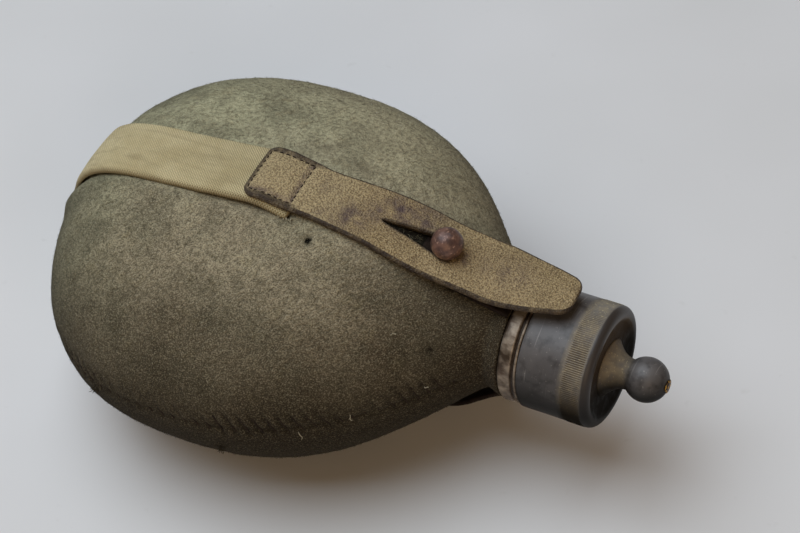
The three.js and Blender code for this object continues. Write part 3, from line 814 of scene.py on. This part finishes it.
def seam_point(length, z, side):
    """A point of the felt beside its seam, at a length along it and a height"""
    station = float(np.interp(length, seam_length, [s[0] for s in felt_sections]))
    width, front, back = section(station)
    depth = front if z > 0 else back
    return Vector((station, side * width * math.sqrt(max(0, 1 - (z / max(depth, 10)) ** 2)), z))


def seam_stitches():
    """Threads across the seam, one in each groove"""
    lines = []
    for length in np.arange(WHIP_PITCH / 2, seam_length[-NECK_STATIONS], WHIP_PITCH):
        for side in (1, -1):
            line = []
            for z in np.linspace(-WHIP_UNDER, WHIP_OVER - 1, 9):
                rough = seam_point(length + WHIP_SLANT * z, z, side)
                spot = seam_point(length + WHIP_SLANT * z - whip_wander(rough), z, side)
                line.append(spot - Vector((0, side * (0.75 + 0.5 * (z > WHIP_OVER - 2)), 0)))
            if line[0].x > 3 - BASE_LENGTH:
                lines.append(line)
    return add_tubes("seam_stitches", lines, WHIP_RADIUS)


finish(seam_stitches(), thread_look, "thread")


def lint():
    lines = []
    for start, length in LINT:
        spot = Vector(start)
        outward = Vector((0, start[1] / HALF_WIDTH**2, start[2] / FRONT_DEPTH**2)).normalized()
        heading = any_way()
        line = []
        for i in range(7):
            heading = flattened(heading, outward).normalized()
            line.append(spot + outward * (0.4 + 0.35 * math.sin(i)))
            spot = spot + heading * length / 6
            heading += any_way()
        lines.append(line)
    return add_tubes("lint", lines, LINT_RADIUS)


def tufts():
    lines = []
    for spot in TUFTS:
        for _ in range(TUFT_THREADS):
            heading = (Vector((0, -1.1, -0.2)) + any_way()).normalized()
            foot = Vector(spot) + any_way() * 0.7
            middle = foot + heading * random.uniform(0.8, 1.6) + any_way() * 0.3
            lines.append([foot, middle, foot + heading * TUFT_LENGTH])
    return add_tubes("felt_tufts", lines, TUFT_RADIUS)


lint_look = lint_material()
finish(lint(), lint_look, "felt")
finish(tufts(), fibre_look, "felt")

# Webbing strap: along the felt's front, round its base and along its back

strap_lift = curve(STRAP_LIFT)


def strap_line():
    """The strap's seat on the felt in its own plane, evenly spaced, with its outward directions"""
    turn = np.linspace(0, math.pi / 2, 160)
    front = [(x, section(x)[1]) for x in np.linspace(STRAP_FRONT_END, 0, 60)]
    base = [(-BASE_LENGTH * math.sin(t), section(-BASE_LENGTH * math.sin(t))) for t in turn[1:]]
    front += [(x, sizes[1]) for x, sizes in base]
    rear = [(x, max(-sizes[2], CHANNEL)) for x, sizes in reversed(base[:-1])]
    rear += [(x, max(-section(x)[2], CHANNEL)) for x in np.linspace(0, STRAP_BACK_END, 90)]
    line = np.array(front + rear)
    length = np.concatenate(([0], np.cumsum(np.linalg.norm(np.diff(line, axis=0), axis=1))))
    even = np.arange(0, length[-1], STRAP_STEP)
    line = np.stack([np.interp(even, length, line[:, k]) for k in (0, 1)], axis=1)
    kernel = np.ones(9) / 9
    padded = np.concatenate((np.repeat(line[:1], 4, 0), line, np.repeat(line[-1:], 4, 0)))
    soft = np.stack([np.convolve(padded[:, k], kernel, "valid") for k in (0, 1)], axis=1)
    return even, line, outward_from(soft)


def webbing():
    even, line, outward = strap_line()
    top = np.linspace(-STRAP_HALF, STRAP_HALF, 40)
    under = np.linspace(STRAP_HALF, -STRAP_HALF, 8)
    places = np.concatenate((top, under))
    columns = len(places)
    points = np.zeros((len(even), columns, 3))
    dirt = np.zeros((len(even), columns))
    for i, length in enumerate(even):
        x, z = line[i]
        flat = smoothstep(CHANNEL, CHANNEL + 6, z)
        lift = strap_lift(x)[0] * smoothstep(20, 34, z)
        sunk = strap_sunk(x, z)
        frayed = smoothstep(2.5, 0, length)
        spread = 1 + 0.05 * smoothstep(9, 0, length)
        for j, across in enumerate(places):
            wide = across * spread * (1 + 0.012 * noise.noise(Vector((length / 9, 0.3, 2 * (across > 0)))))
            drop = flat * across * across / 220
            if j < len(top):
                rounding = max(0, abs(across) - STRAP_HALF + STRAP_EDGE) / STRAP_EDGE
                height = (STRAP_TOP - 0.9 * rounding**2) * (1 - 1.25 * sunk)
                height += 0.12 * noise.noise(Vector((length / 6, across / 6, 4)))
            else:
                height = 0.15 - 1.9 * sunk
            # Grime at the frayed end; darker along both edges, partly painted shade
            dirt[i, j] = max(0.4 * frayed, 0.4 * smoothstep(STRAP_HALF - 1, STRAP_HALF, abs(across)))
            spot = line[i] + outward[i] * (height + lift - drop)
            points[i, j] = (spot[0] + frayed * 0.5 * wander((length, 3 * across, 0), 1.1, 2), wide, spot[1])
    points[..., 2] = np.maximum(points[..., 2], FLOOR + FLOOR_GAP)
    values = {
        "along": np.repeat(even, columns),
        "across": np.tile(places, len(even)),
        "dirt": dirt.ravel(),
    }
    return add_mesh("webbing", skewed(points).reshape(-1, 3), tube_faces(len(even), columns), **values)


def frayed_end():
    """Loose threads at the near corner of the webbing's front end"""
    lines = []
    for _ in range(FRAY_THREADS):
        foot = Vector([random.uniform(*span) for span in FRAY_BOX])
        heading = (Vector((0.5, -1.1, -0.5)) + 0.8 * any_way()).normalized()
        length = random.uniform(1, 2.6)
        middle = foot + heading * length * 0.5 + 0.3 * any_way()
        lines.append([skewed(foot), skewed(middle), skewed(foot + heading * length)])
    return add_tubes("webbing_fray", lines, FRAY_RADIUS)


finish(webbing(), webbing_material(), "webbing", "webbing_strap")
finish(frayed_end(), lint_look, "webbing")

# Leather tongue: sewn on the webbing, free past the fold, slit for the stud

tongue_height = curve(TONGUE_LINE)
tongue_plan = curve(TONGUE_PLAN)


def tongue_shift(x):
    """How far the tongue lies to the far side of the strap's middle"""
    return TONGUE_SHIFT * smoothstep(*TONGUE_SHIFT_SPAN, x)


def tongue_half(x):
    """Half the tongue's width at a station, with round corners at both ends"""
    early = max(0, TONGUE_START + TONGUE_ROOT_CORNER - x)
    late = max(0, x - TONGUE_TIP + TONGUE_CORNER)
    half = tongue_plan(x)[0]
    half -= TONGUE_ROOT_CORNER - math.sqrt(max(0, TONGUE_ROOT_CORNER**2 - early**2))
    return half - TONGUE_CORNER + math.sqrt(max(0, TONGUE_CORNER**2 - late**2))


def slit_middle(x):
    """Place across of the slit's middle, which bows to one side between its ends"""
    return 0.2 + 0.7 * smoothstep(48, 62, x) * smoothstep(73, 66, x)


def slit_half(x):
    """Half the slit's width at a station"""
    if x < SLIT_START or x > STUD_X + SLIT_HOLE:
        return 0.0
    if x > STUD_X - 0.9:
        return math.sqrt(max(0, SLIT_HOLE**2 - (x - STUD_X) ** 2))
    share = (x - SLIT_START) / (STUD_X - SLIT_START)
    return SLIT_BLUNT * math.sqrt(min(1, x - SLIT_START)) + (SLIT_HOLE - SLIT_BLUNT) * share


def slit_distance(x, across):
    """Distance from the slit's rim"""
    inside = float(np.clip(x, SLIT_START, STUD_X + SLIT_HOLE))
    beside = max(0, abs(across - slit_middle(inside)) - slit_half(inside))
    return math.hypot(x - inside, beside)


def loop_distance(x, across):
    """Distance from the loop of stitching on the sewn end, less than nothing inside it"""
    out_x = max(LOOP_START - x, x - LOOP_END)
    out_y = abs(across) - LOOP_HALF
    if out_x <= 0 and out_y <= 0:
        return max(out_x, out_y)
    return math.hypot(max(out_x, 0), max(out_y, 0))


def tongue_point(x, across, height):
    """A point of the tongue, from its station, its place across and its height over the underside"""
    base, slope = tongue_height(x)
    size = math.hypot(1, slope)
    beside = across - tongue_shift(x)
    cup = 0.004 * beside * beside * smoothstep(TONGUE_FOLD + 12, TONGUE_FOLD, x)
    droop = 0.006 * beside * beside * smoothstep(TONGUE_FOLD + 10, STUD_X, x)
    return np.array((x - height * slope / size, across, base + height / size - cup - droop))


def leather_relief(x, across):
    """Height of the groove under the stitches, the swelling inside it and the leather's waves"""
    away = loop_distance(x, across)
    swell = 0.45 * smoothstep(-1, -5, away) - GROOVE_DEPTH * hump(away, GROOVE_WIDTH)
    return swell + 0.14 * wander((x, across, 0), 7, 2.2) + 0.05 * wander((x, across, 0), 1.6, 6)


def leather_wear(x, across):
    """How dark the leather is at a place on its top, and how stained"""
    near_end = min(x - TONGUE_START, TONGUE_TIP - x)
    rim = min(tongue_half(x) - abs(across - tongue_shift(x)), near_end)
    dark = 0.7 * smoothstep(0.8, 0.1, rim)
    beyond = 1.6 * smoothstep(STUD_X, STUD_X + 3, x)
    dark = max(dark, 0.8 * smoothstep(0.9 + beyond, 0.1, slit_distance(x, across)))
    stain = max(s * hump(math.hypot(x - sx, across - sy), r) for sx, sy, r, s in STAINS)
    if x < TONGUE_FOLD + 2:
        border = max(LOOP_START - x, abs(across) - LOOP_HALF)
        fade = smoothstep(TONGUE_FOLD + 1, TONGUE_FOLD - 4, x)
        dark = max(dark, 0.85 * fade * smoothstep(-0.4, 0.5, border))
        inside = min(across + LOOP_HALF, LOOP_END - x)
        if border < 0 < inside:
            stain = max(stain, 0.8 * smoothstep(2.6, 0.2, inside))
    return dark, stain


def tongue():
    rows = list(np.arange(TONGUE_START, TONGUE_FOLD + 4, 0.45))
    rows += list(np.arange(rows[-1] + 0.7, TONGUE_TIP - TONGUE_CORNER, 0.7))
    rows += list(TONGUE_TIP - TONGUE_CORNER * (1 - np.sin(np.linspace(0, math.pi / 2, 9))))
    rows += [SLIT_START + 0.01, SLIT_START + 0.2, STUD_X + SLIT_HOLE - 0.01, STUD_X + SLIT_HOLE - 0.3]
    rows.sort()
    under, edge, top = 10, 7, 34
    columns = under + edge + top
    points = []
    faces = []
    wear = {"edge": [], "stain": [], "pale": []}
    for side in (1, -1):
        start = len(points)
        for x in rows:
            inner = slit_middle(x) + side * slit_half(x)
            wave = 0.22 * wander((x, 4 * side, 0), 14, 3.3)
            outer = tongue_shift(x) + side * (tongue_half(x) + wave - LEATHER_EDGE)
            near_end = min(x - TONGUE_START, TONGUE_TIP - x)
            full = math.sqrt(max(0.08, 1 - max(0, 1 - near_end / LEATHER_EDGE) ** 2))
            thick = LEATHER * full
            lift = LEATHER * (1 - full) / 2
            for k in range(columns):
                dark, stain = 0.95, 0
                if k < under:
                    across = inner + (outer - inner) * k / under
                    height = lift
                elif k < under + edge:
                    angle = math.pi * (k - under) / (edge - 1)
                    across = outer + side * LEATHER_EDGE * math.sin(angle)
                    height = lift + thick * (1 - math.cos(angle)) / 2
                else:
                    across = outer + (inner - outer) * (k - under - edge + 1) / top
                    height = lift + thick + leather_relief(x, across)
                    dark, stain = leather_wear(x, across)
                points.append(tongue_point(x, across, height))
                wear["edge"].append(dark)
                wear["stain"].append(stain)
                wear["pale"].append(smoothstep(*PALE_SPAN, x))
        quads = grid_faces(len(rows), columns, start=start)
        for i in range(len(rows) - 1):
            if slit_half(rows[i]) > 0 or slit_half(rows[i + 1]) > 0:
                a = start + i * columns
                quads.append((a + columns - 1, a, a + columns, a + 2 * columns - 1))
        quads.append(tuple(range(start, start + columns)))
        last = start + (len(rows) - 1) * columns
        quads.append(tuple(range(last, last + columns))[::-1])
        faces += quads if side > 0 else [face[::-1] for face in quads]
    obj = add_mesh("tongue", skewed(points), faces, **wear)
    halves = bmesh.new()
    halves.from_mesh(obj.data)
    bmesh.ops.remove_doubles(halves, verts=halves.verts, dist=0.002 * MM)
    halves.to_mesh(obj.data)
    halves.free()
    return obj


tongue_piece = tongue()
finish(tongue_piece, leather_material(), "leather", "tongue_root", "tongue_flap", body=None)
fold_start = skewed(tongue_point(TONGUE_FOLD - 1.4, 0, 0))
fold_end = skewed(tongue_point(TONGUE_FOLD + 7.6, 0, 0))
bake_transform(tongue_piece)


def loop_stitches(name, low, high, half, surface):
    """Stitches round a rectangle, each a short thread that dips at both ends"""
    corners = [(low, -half), (high, -half), (high, half), (low, half)]
    lines = []
    for (x0, y0), (x1, y1) in zip(corners, corners[1:] + corners[:1]):
        side = math.dist((x0, y0), (x1, y1))
        count = round(side / STITCH_PITCH)
        for i in range(count):
            middle = (i + 0.5 + random.uniform(-0.12, 0.12)) / count
            reach = random.uniform(0.8, 1.1) * STITCH_LENGTH / side / 2
            stray = random.uniform(-0.25, 0.25)
            line = []
            for share in np.linspace(-1, 1, 7):
                x = x0 + (x1 - x0) * (middle + share * reach) - stray * share * (y1 - y0) / side
                y = y0 + (y1 - y0) * (middle + share * reach) + stray * share * (x1 - x0) / side
                line.append(skewed(surface(x, y, 0.55 * share**4)))
            lines.append(line)
    return add_tubes(name, lines, THREAD_RADIUS)


root_stitches = loop_stitches(
    "tongue_stitches",
    LOOP_START,
    LOOP_END,
    LOOP_HALF,
    lambda x, y, dip: tongue_point(x, y, LEATHER - GROOVE_DEPTH + 0.12 - dip),
)
finish(root_stitches, thread_look, "thread", "tongue_stitching")

# Leather yoke: a disc round the neck, an arm under the tongue and an arm sewn to the webbing's end


def strip(line, half, thick):
    """Points and faces of a flat strap with round edges along a line of (x, z) places"""
    line = np.asarray(line, float)
    angles = np.linspace(0, math.pi, 7)
    flat = half - YOKE_EDGE
    ring = [(flat + YOKE_EDGE * math.sin(a), thick * (1 - math.cos(a)) / 2) for a in angles]
    ring += [(half * s, thick) for s in np.linspace(0.8, -0.8, 9)]
    ring += [(-flat - YOKE_EDGE * math.sin(a), thick * (1 + math.cos(a)) / 2) for a in angles]
    ring += [(half * s, 0) for s in np.linspace(-0.8, 0.8, 9)]
    points = []
    for spot, out in zip(line, outward_from(line)):
        for across, height in ring:
            wave = 0.15 * wander((spot[0], across, spot[1]), 6, 4)
            points.append((spot[0] + out[0] * (height + wave), across, spot[1] + out[1] * (height + wave)))
    return skewed(points), tube_faces(len(line), len(ring))


def yoke_height(x):
    """Underside of the yoke's arm in front of the neck"""
    return YOKE_RIM + (YOKE_FOOT - x) * math.tan(YOKE_RISE)


def lap_height(x):
    """Underside of the yoke where it is sewn on the webbing's back end"""
    return max(-section(x)[2], CHANNEL) - YOKE_SEAT


def turned_points(profile, steps, closed, radius_of=None):
    """Points and faces of a shape turned about the neck axis from (x, radius) places"""
    points = []
    for k in range(steps):
        angle = 2 * math.pi * k / steps
        for x, radius in profile:
            points.append(around(x, radius_of(x, radius, angle) if radius_of else radius, angle))
    quads = grid_faces(steps, len(profile), wrap=closed, ring=True)
    return points, [(a, d, c, b) for a, b, c, d in quads]


def yoke():
    end = YOKE_FOOT + 1.6
    front = [(x, yoke_height(x)) for x in np.linspace(end, YOKE_FRONT_END, 40)]
    lap = [(x, lap_height(x)) for x in np.linspace(STRAP_BACK_END - YOKE_LAP, STRAP_BACK_END, 14)]
    rise = -YOKE_RIM - lap[-1][1]
    reach = [(x, lap[-1][1] + rise * smoothstep(STRAP_BACK_END, end - 0.6, x))
             for x in np.linspace(STRAP_BACK_END + 1, end, 24)]
    top = YOKE_BACK + YOKE
    disc = [(YOKE_BACK, YOKE_HOLE), (YOKE_BACK, YOKE_DISC - 0.3), (YOKE_BACK + 0.5, YOKE_DISC)]
    disc += [(top - 0.5, YOKE_DISC), (top, YOKE_DISC - 0.3), (top, YOKE_HOLE)]
    arms = [strip(line, YOKE_HALF, YOKE) for line in (front, lap + reach)]
    return joined("yoke", [turned_points(disc, 96, True), *arms])


finish(yoke(), yoke_look, "yoke_leather", "neck_yoke")
back_stitches = loop_stitches(
    "yoke_stitches",
    STRAP_BACK_END - YOKE_LAP + STITCH_INSET,
    STRAP_BACK_END - STITCH_INSET,
    YOKE_HALF - STITCH_INSET,
    lambda x, y, dip: np.array((x, y, lap_height(x) - YOKE + 0.1 + dip)),
)
finish(back_stitches, thread_look, "thread", "yoke_stitching")

# Turned pieces: stud, collar, cap, knob and rivet


def arc(x, radius, size, first, last, steps):
    """Places on an arc about (x, radius), with angles in degrees from straight outwards towards the cap"""
    angles = np.radians(np.linspace(first, last, steps + 1))
    return [(x + size * math.sin(a), radius + size * math.cos(a)) for a in angles]


def ridge(root, crest, start, steps=48):
    """Points and faces of a right-hand screw ridge about the neck axis"""
    tooth = ((root, -0.95), (crest, -0.5), (crest, 0.5), (root, 0.95))
    points = []
    rows = round(THREAD_TURNS * steps) + 1
    for i in range(rows):
        angle = 2 * math.pi * i / steps
        for radius, side in tooth:
            points.append(around(start + PITCH * i / steps + side, radius, angle))
    faces = grid_faces(rows, 4, wrap=True)
    faces += [(0, 1, 2, 3), tuple(4 * (rows - 1) + k for k in (3, 2, 1, 0))]
    return points, faces


def stud():
    """A ball on a neck, turned about X and then stood on the yoke"""
    foot = math.degrees(math.acos(STUD_NECK / STUD_BALL))
    profile = [(-3, 1.4), (0.3, 1.4), (0.3, 3.1), (0.9, 3.0), (1.3, STUD_NECK)]
    profile += arc(STUD_HEIGHT, 0, STUD_BALL, -foot, 89.5, 40)
    points, faces = turned_points(profile, 72, False)
    turn = Matrix.Rotation(YOKE_RISE - math.pi / 2, 3, "Y")
    seat = Vector((STUD_X, 0, yoke_height(STUD_X) + YOKE / math.cos(YOKE_RISE)))
    stood = []
    for point in points:
        dent = 1 + 0.014 * wander(point, 3, 7)
        stood.append(seat + turn @ (Vector(point) * dent))
    return add_mesh("button_stud", skewed(stood), faces)


stud_look = stud_material()
finish(stud(), stud_look, "stud_metal", "stud")


def collar():
    flange = arc(FLANGE_BACK + FLANGE_ROUND, FLANGE_RADIUS - FLANGE_ROUND, FLANGE_ROUND, -90, 0, 8)
    flange += arc(FLANGE_FRONT - 0.5, FLANGE_RADIUS - 0.5, 0.5, 0, 90, 5)
    bead = arc((BEAD_BACK + BEAD_FRONT) / 2, BEAD_RADIUS - 0.5, 0.5, -90, 90, 8)
    profile = [(FLANGE_BACK, BARREL_BORE)] + flange
    profile += [(FLANGE_FRONT, GROOVE_RADIUS), (BEAD_BACK, GROOVE_RADIUS)] + bead
    profile += [(BEAD_FRONT, BARREL_RADIUS), (BARREL_END, BARREL_RADIUS), (BARREL_END, BARREL_BORE)]

    def worn(x, radius, angle):
        if radius < GROOVE_RADIUS - 1:
            return radius
        spot = around(x, CAP_RADIUS, angle)
        return radius + 0.07 * wander(spot, 2.6, 4) + 0.05 * wander(spot, 0.9, 9)

    sleeve = turned_points(profile, 240, True, worn)
    shapes = [sleeve, ridge(BARREL_RADIUS - 0.4, BARREL_RADIUS + THREAD_HEIGHT, THREAD_START)]
    dirt = []
    for points, _ in shapes:
        for _, y, z in points:
            # Darker in the groove before the bead
            dirt.append(0.9 * smoothstep(GROOVE_RADIUS + 0.8, GROOVE_RADIUS + 0.1, math.hypot(y, z)))
    return joined("collar", shapes, dirt=dirt)


finish(collar(), collar_material(), "collar_metal", "neck_collar")


def cap():
    profile = [(CAP_REAR, CAP_BORE), (CAP_REAR, CAP_RADIUS - 0.35), (CAP_REAR + 0.35, CAP_RADIUS)]
    profile += [(x, CAP_RADIUS) for x in np.linspace(CAP_REAR + 1.5, KNURL_BACK - 0.4, 12)]
    profile += [(x, CAP_RADIUS) for x in np.linspace(KNURL_BACK, KNURL_FRONT, 12)]
    profile += arc(CAP_FRONT - CAP_ROUND, CAP_RADIUS - CAP_ROUND, CAP_ROUND, 0, 90, 10)[1:]
    profile += [(CAP_FRONT - 0.02, 16.8), (CAP_FRONT - 0.25, 16.2), (CAP_DISH + 0.2, 15.2), (CAP_DISH, 14)]
    profile += [(CAP_DISH, r) for r in (11, 8, 5, RIVET_HOLE)]
    profile += [(CAP_ROOF, RIVET_HOLE), (CAP_ROOF, 10), (CAP_ROOF, CAP_BORE)]

    def knurled(x, radius, angle):
        if radius < CAP_BORE + 0.1:
            return radius
        spot = around(x, CAP_RADIUS, angle)
        band = smoothstep(KNURL_BACK - 0.1, KNURL_BACK + 0.5, x)
        band *= smoothstep(KNURL_FRONT, KNURL_FRONT - 0.6, x)
        rubbed = 0.7 + 0.5 * wander(spot, 8, 2)
        teeth = band * rubbed * KNURL_DEPTH * (math.sin(KNURL_COUNT * angle) - 0.6)
        return radius + 0.06 * wander(spot, 9, 5) + teeth

    shapes = [turned_points(profile, KNURL_COUNT * 4, True, knurled)]
    shapes.append(ridge(CAP_BORE + 0.4, CAP_BORE - THREAD_HEIGHT, THREAD_START + PITCH / 2))
    wear = {"dust": [], "dirt": [], "rim": [], "low": []}
    for points, _ in shapes:
        for x, y, z in points:
            radius = math.hypot(y, z)
            band = smoothstep(KNURL_BACK - 1.5, KNURL_BACK + 0.5, x)
            band *= smoothstep(KNURL_FRONT + 0.5, KNURL_FRONT - 0.4, x)
            face = smoothstep(CAP_FRONT - 1.6, CAP_DISH, x) * smoothstep(17.2, 15.8, radius)
            hollow = smoothstep(CAP_RADIUS - 0.1, CAP_RADIUS - 0.4, radius) * band
            rim = smoothstep(KNURL_FRONT - 0.2, KNURL_FRONT + 0.6, x) * smoothstep(15.4, 16.4, radius)
            wear["dust"].append(max(0.85 * band, face))
            # Darker in the knurl's hollows, and on the face: grime, and painted shade on the face
            wear["dirt"].append(max(0.9 * hollow, 0.92 * face))
            wear["rim"].append(rim)
            # Painted shade: darker towards the low side
            wear["low"].append(0.97 * smoothstep(16, -5, z))
    return joined("cap", shapes, **wear)


finish(cap(), cap_look, "cap_metal", "cap_shell", body="cap")


def knob():
    """A ball on a neck that flares to its foot"""
    foot = CAP_DISH + 0.05
    waist = math.acos(KNOB_NECK / KNOB_RADIUS)
    neck = KNOB_CENTRE - KNOB_RADIUS * math.sin(waist)
    end = math.degrees(math.asin((KNOB_FLAT - KNOB_CENTRE) / KNOB_RADIUS))
    profile = [(foot, RIVET_HOLE)]
    for t in np.linspace(0, 1, 18):
        radius = KNOB_NECK + (KNOB_FOOT - KNOB_NECK) * (1 - t) ** KNOB_FLARE
        profile.append((foot + (neck - foot) * t, radius))
    profile += arc(KNOB_CENTRE, 0, KNOB_RADIUS, -math.degrees(waist), end, 36)[1:]
    profile.append((KNOB_FLAT, RIVET_HOLE))

    def worn(x, radius, angle):
        if radius < RIVET_RADIUS + 0.5:
            return radius
        return radius + 0.06 * wander(around(x, 7, angle), 3, 5)

    points, faces = turned_points(profile, 96, True, worn)
    dust = [smoothstep(KNOB_CENTRE - 3.5, KNOB_CENTRE - 7, p[0]) for p in points]
    # Darker where the knob meets the dish
    dirt = [0.3 * smoothstep(foot + 2.5, foot, p[0]) for p in points]
    # Painted shade: darker towards the low side
    low = [0.97 * smoothstep(8, -2, p[2]) for p in points]
    return add_mesh("knob", points, faces, dust=dust, dirt=dirt, low=low)


finish(knob(), cap_look, "cap_metal", "cap_knob", body="cap")


def rivet():
    head = KNOB_FLAT + 0.2
    profile = [(RIVET_BACK, 0.01), (RIVET_BACK, 2.7), (RIVET_BACK + 0.3, 3), (RIVET_SEAT, 3)]
    profile += [(RIVET_SEAT, RIVET_RADIUS), (head, RIVET_RADIUS)]
    profile += [(head, PEEN_RADIUS), (head + 0.2, PEEN_RADIUS - 0.1)]
    profile += [(head + PEEN_HEIGHT, PEEN_RADIUS * 0.55), (head + PEEN_HEIGHT + 0.1, 0.01)]

    def hammered(x, radius, angle):
        return radius * (1 + 0.1 * wander(around(x, 2, angle), 1.2, 3))

    points, faces = turned_points(profile, 40, False, hammered)
    return add_mesh("rivet", points, faces)


finish(rivet(), brass_look, "rivet_metal", "knob_rivet", body="cap")

# Hidden pieces keep their solids
for name, made, slot in (
    ("flask_shell", aluminium_material(), "flask_metal"),
    ("cap_gasket", cork_material(), "cork"),
    ("rivet_washer", brass_look, "rivet_metal"),
    ("stud_washer", stud_look, "stud_metal"),
):
    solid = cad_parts[name]
    solid.data.materials.clear()
    solid.data.materials.append(made)

# Floor, light and camera

bpy.ops.mesh.primitive_plane_add(size=6)
floor = bpy.context.object
floor.name = "floor"
floor.data.materials.append(floor_material())

for name, size, energy, colour, spot in LIGHTS:
    lamp = bpy.data.lights.new(name, "AREA")
    lamp.size = size
    lamp.energy = energy
    lamp.color = colour
    light = bpy.data.objects.new(name, lamp)
    light.location = spot
    light.rotation_euler = (-light.location).to_track_quat("-Z", "Y").to_euler()
    bpy.context.scene.collection.objects.link(light)

world = bpy.data.worlds.new("studio")
world.use_nodes = True
sky = world.node_tree.nodes["Background"]
sky.inputs["Color"].default_value = ROOM_COLOUR
sky.inputs["Strength"].default_value = ROOM_STRENGTH
bpy.context.scene.world = world

back = Vector((
    math.sin(CAMERA_AZIMUTH) * math.cos(CAMERA_ELEVATION),
    -math.cos(CAMERA_AZIMUTH) * math.cos(CAMERA_ELEVATION),
    math.sin(CAMERA_ELEVATION),
))
level = Vector((math.cos(CAMERA_AZIMUTH), math.sin(CAMERA_AZIMUTH), 0))
upright = back.cross(level)
right = level * math.cos(CAMERA_ROLL) + upright * math.sin(CAMERA_ROLL)
up = upright * math.cos(CAMERA_ROLL) - level * math.sin(CAMERA_ROLL)
aside = (ORIGIN_PIXEL[0] - IMAGE_WIDTH / 2) / FOCAL_PIXELS * CAMERA_DISTANCE
above = (IMAGE_HEIGHT / 2 - ORIGIN_PIXEL[1]) / FOCAL_PIXELS * CAMERA_DISTANCE
eye = back * CAMERA_DISTANCE - right * aside - up * above

lens = bpy.data.cameras.new("camera")
lens.sensor_fit = "HORIZONTAL"
lens.sensor_width = 36
lens.lens = FOCAL_PIXELS * lens.sensor_width / IMAGE_WIDTH
lens.clip_start = 0.01
camera = bpy.data.objects.new("camera", lens)
camera.matrix_world = Matrix.Translation(place(eye)) @ Matrix((right, up, back)).transposed().to_4x4()
bpy.context.scene.collection.objects.link(camera)
bpy.context.scene.camera = camera
bpy.context.scene.view_settings.view_transform = "Standard"
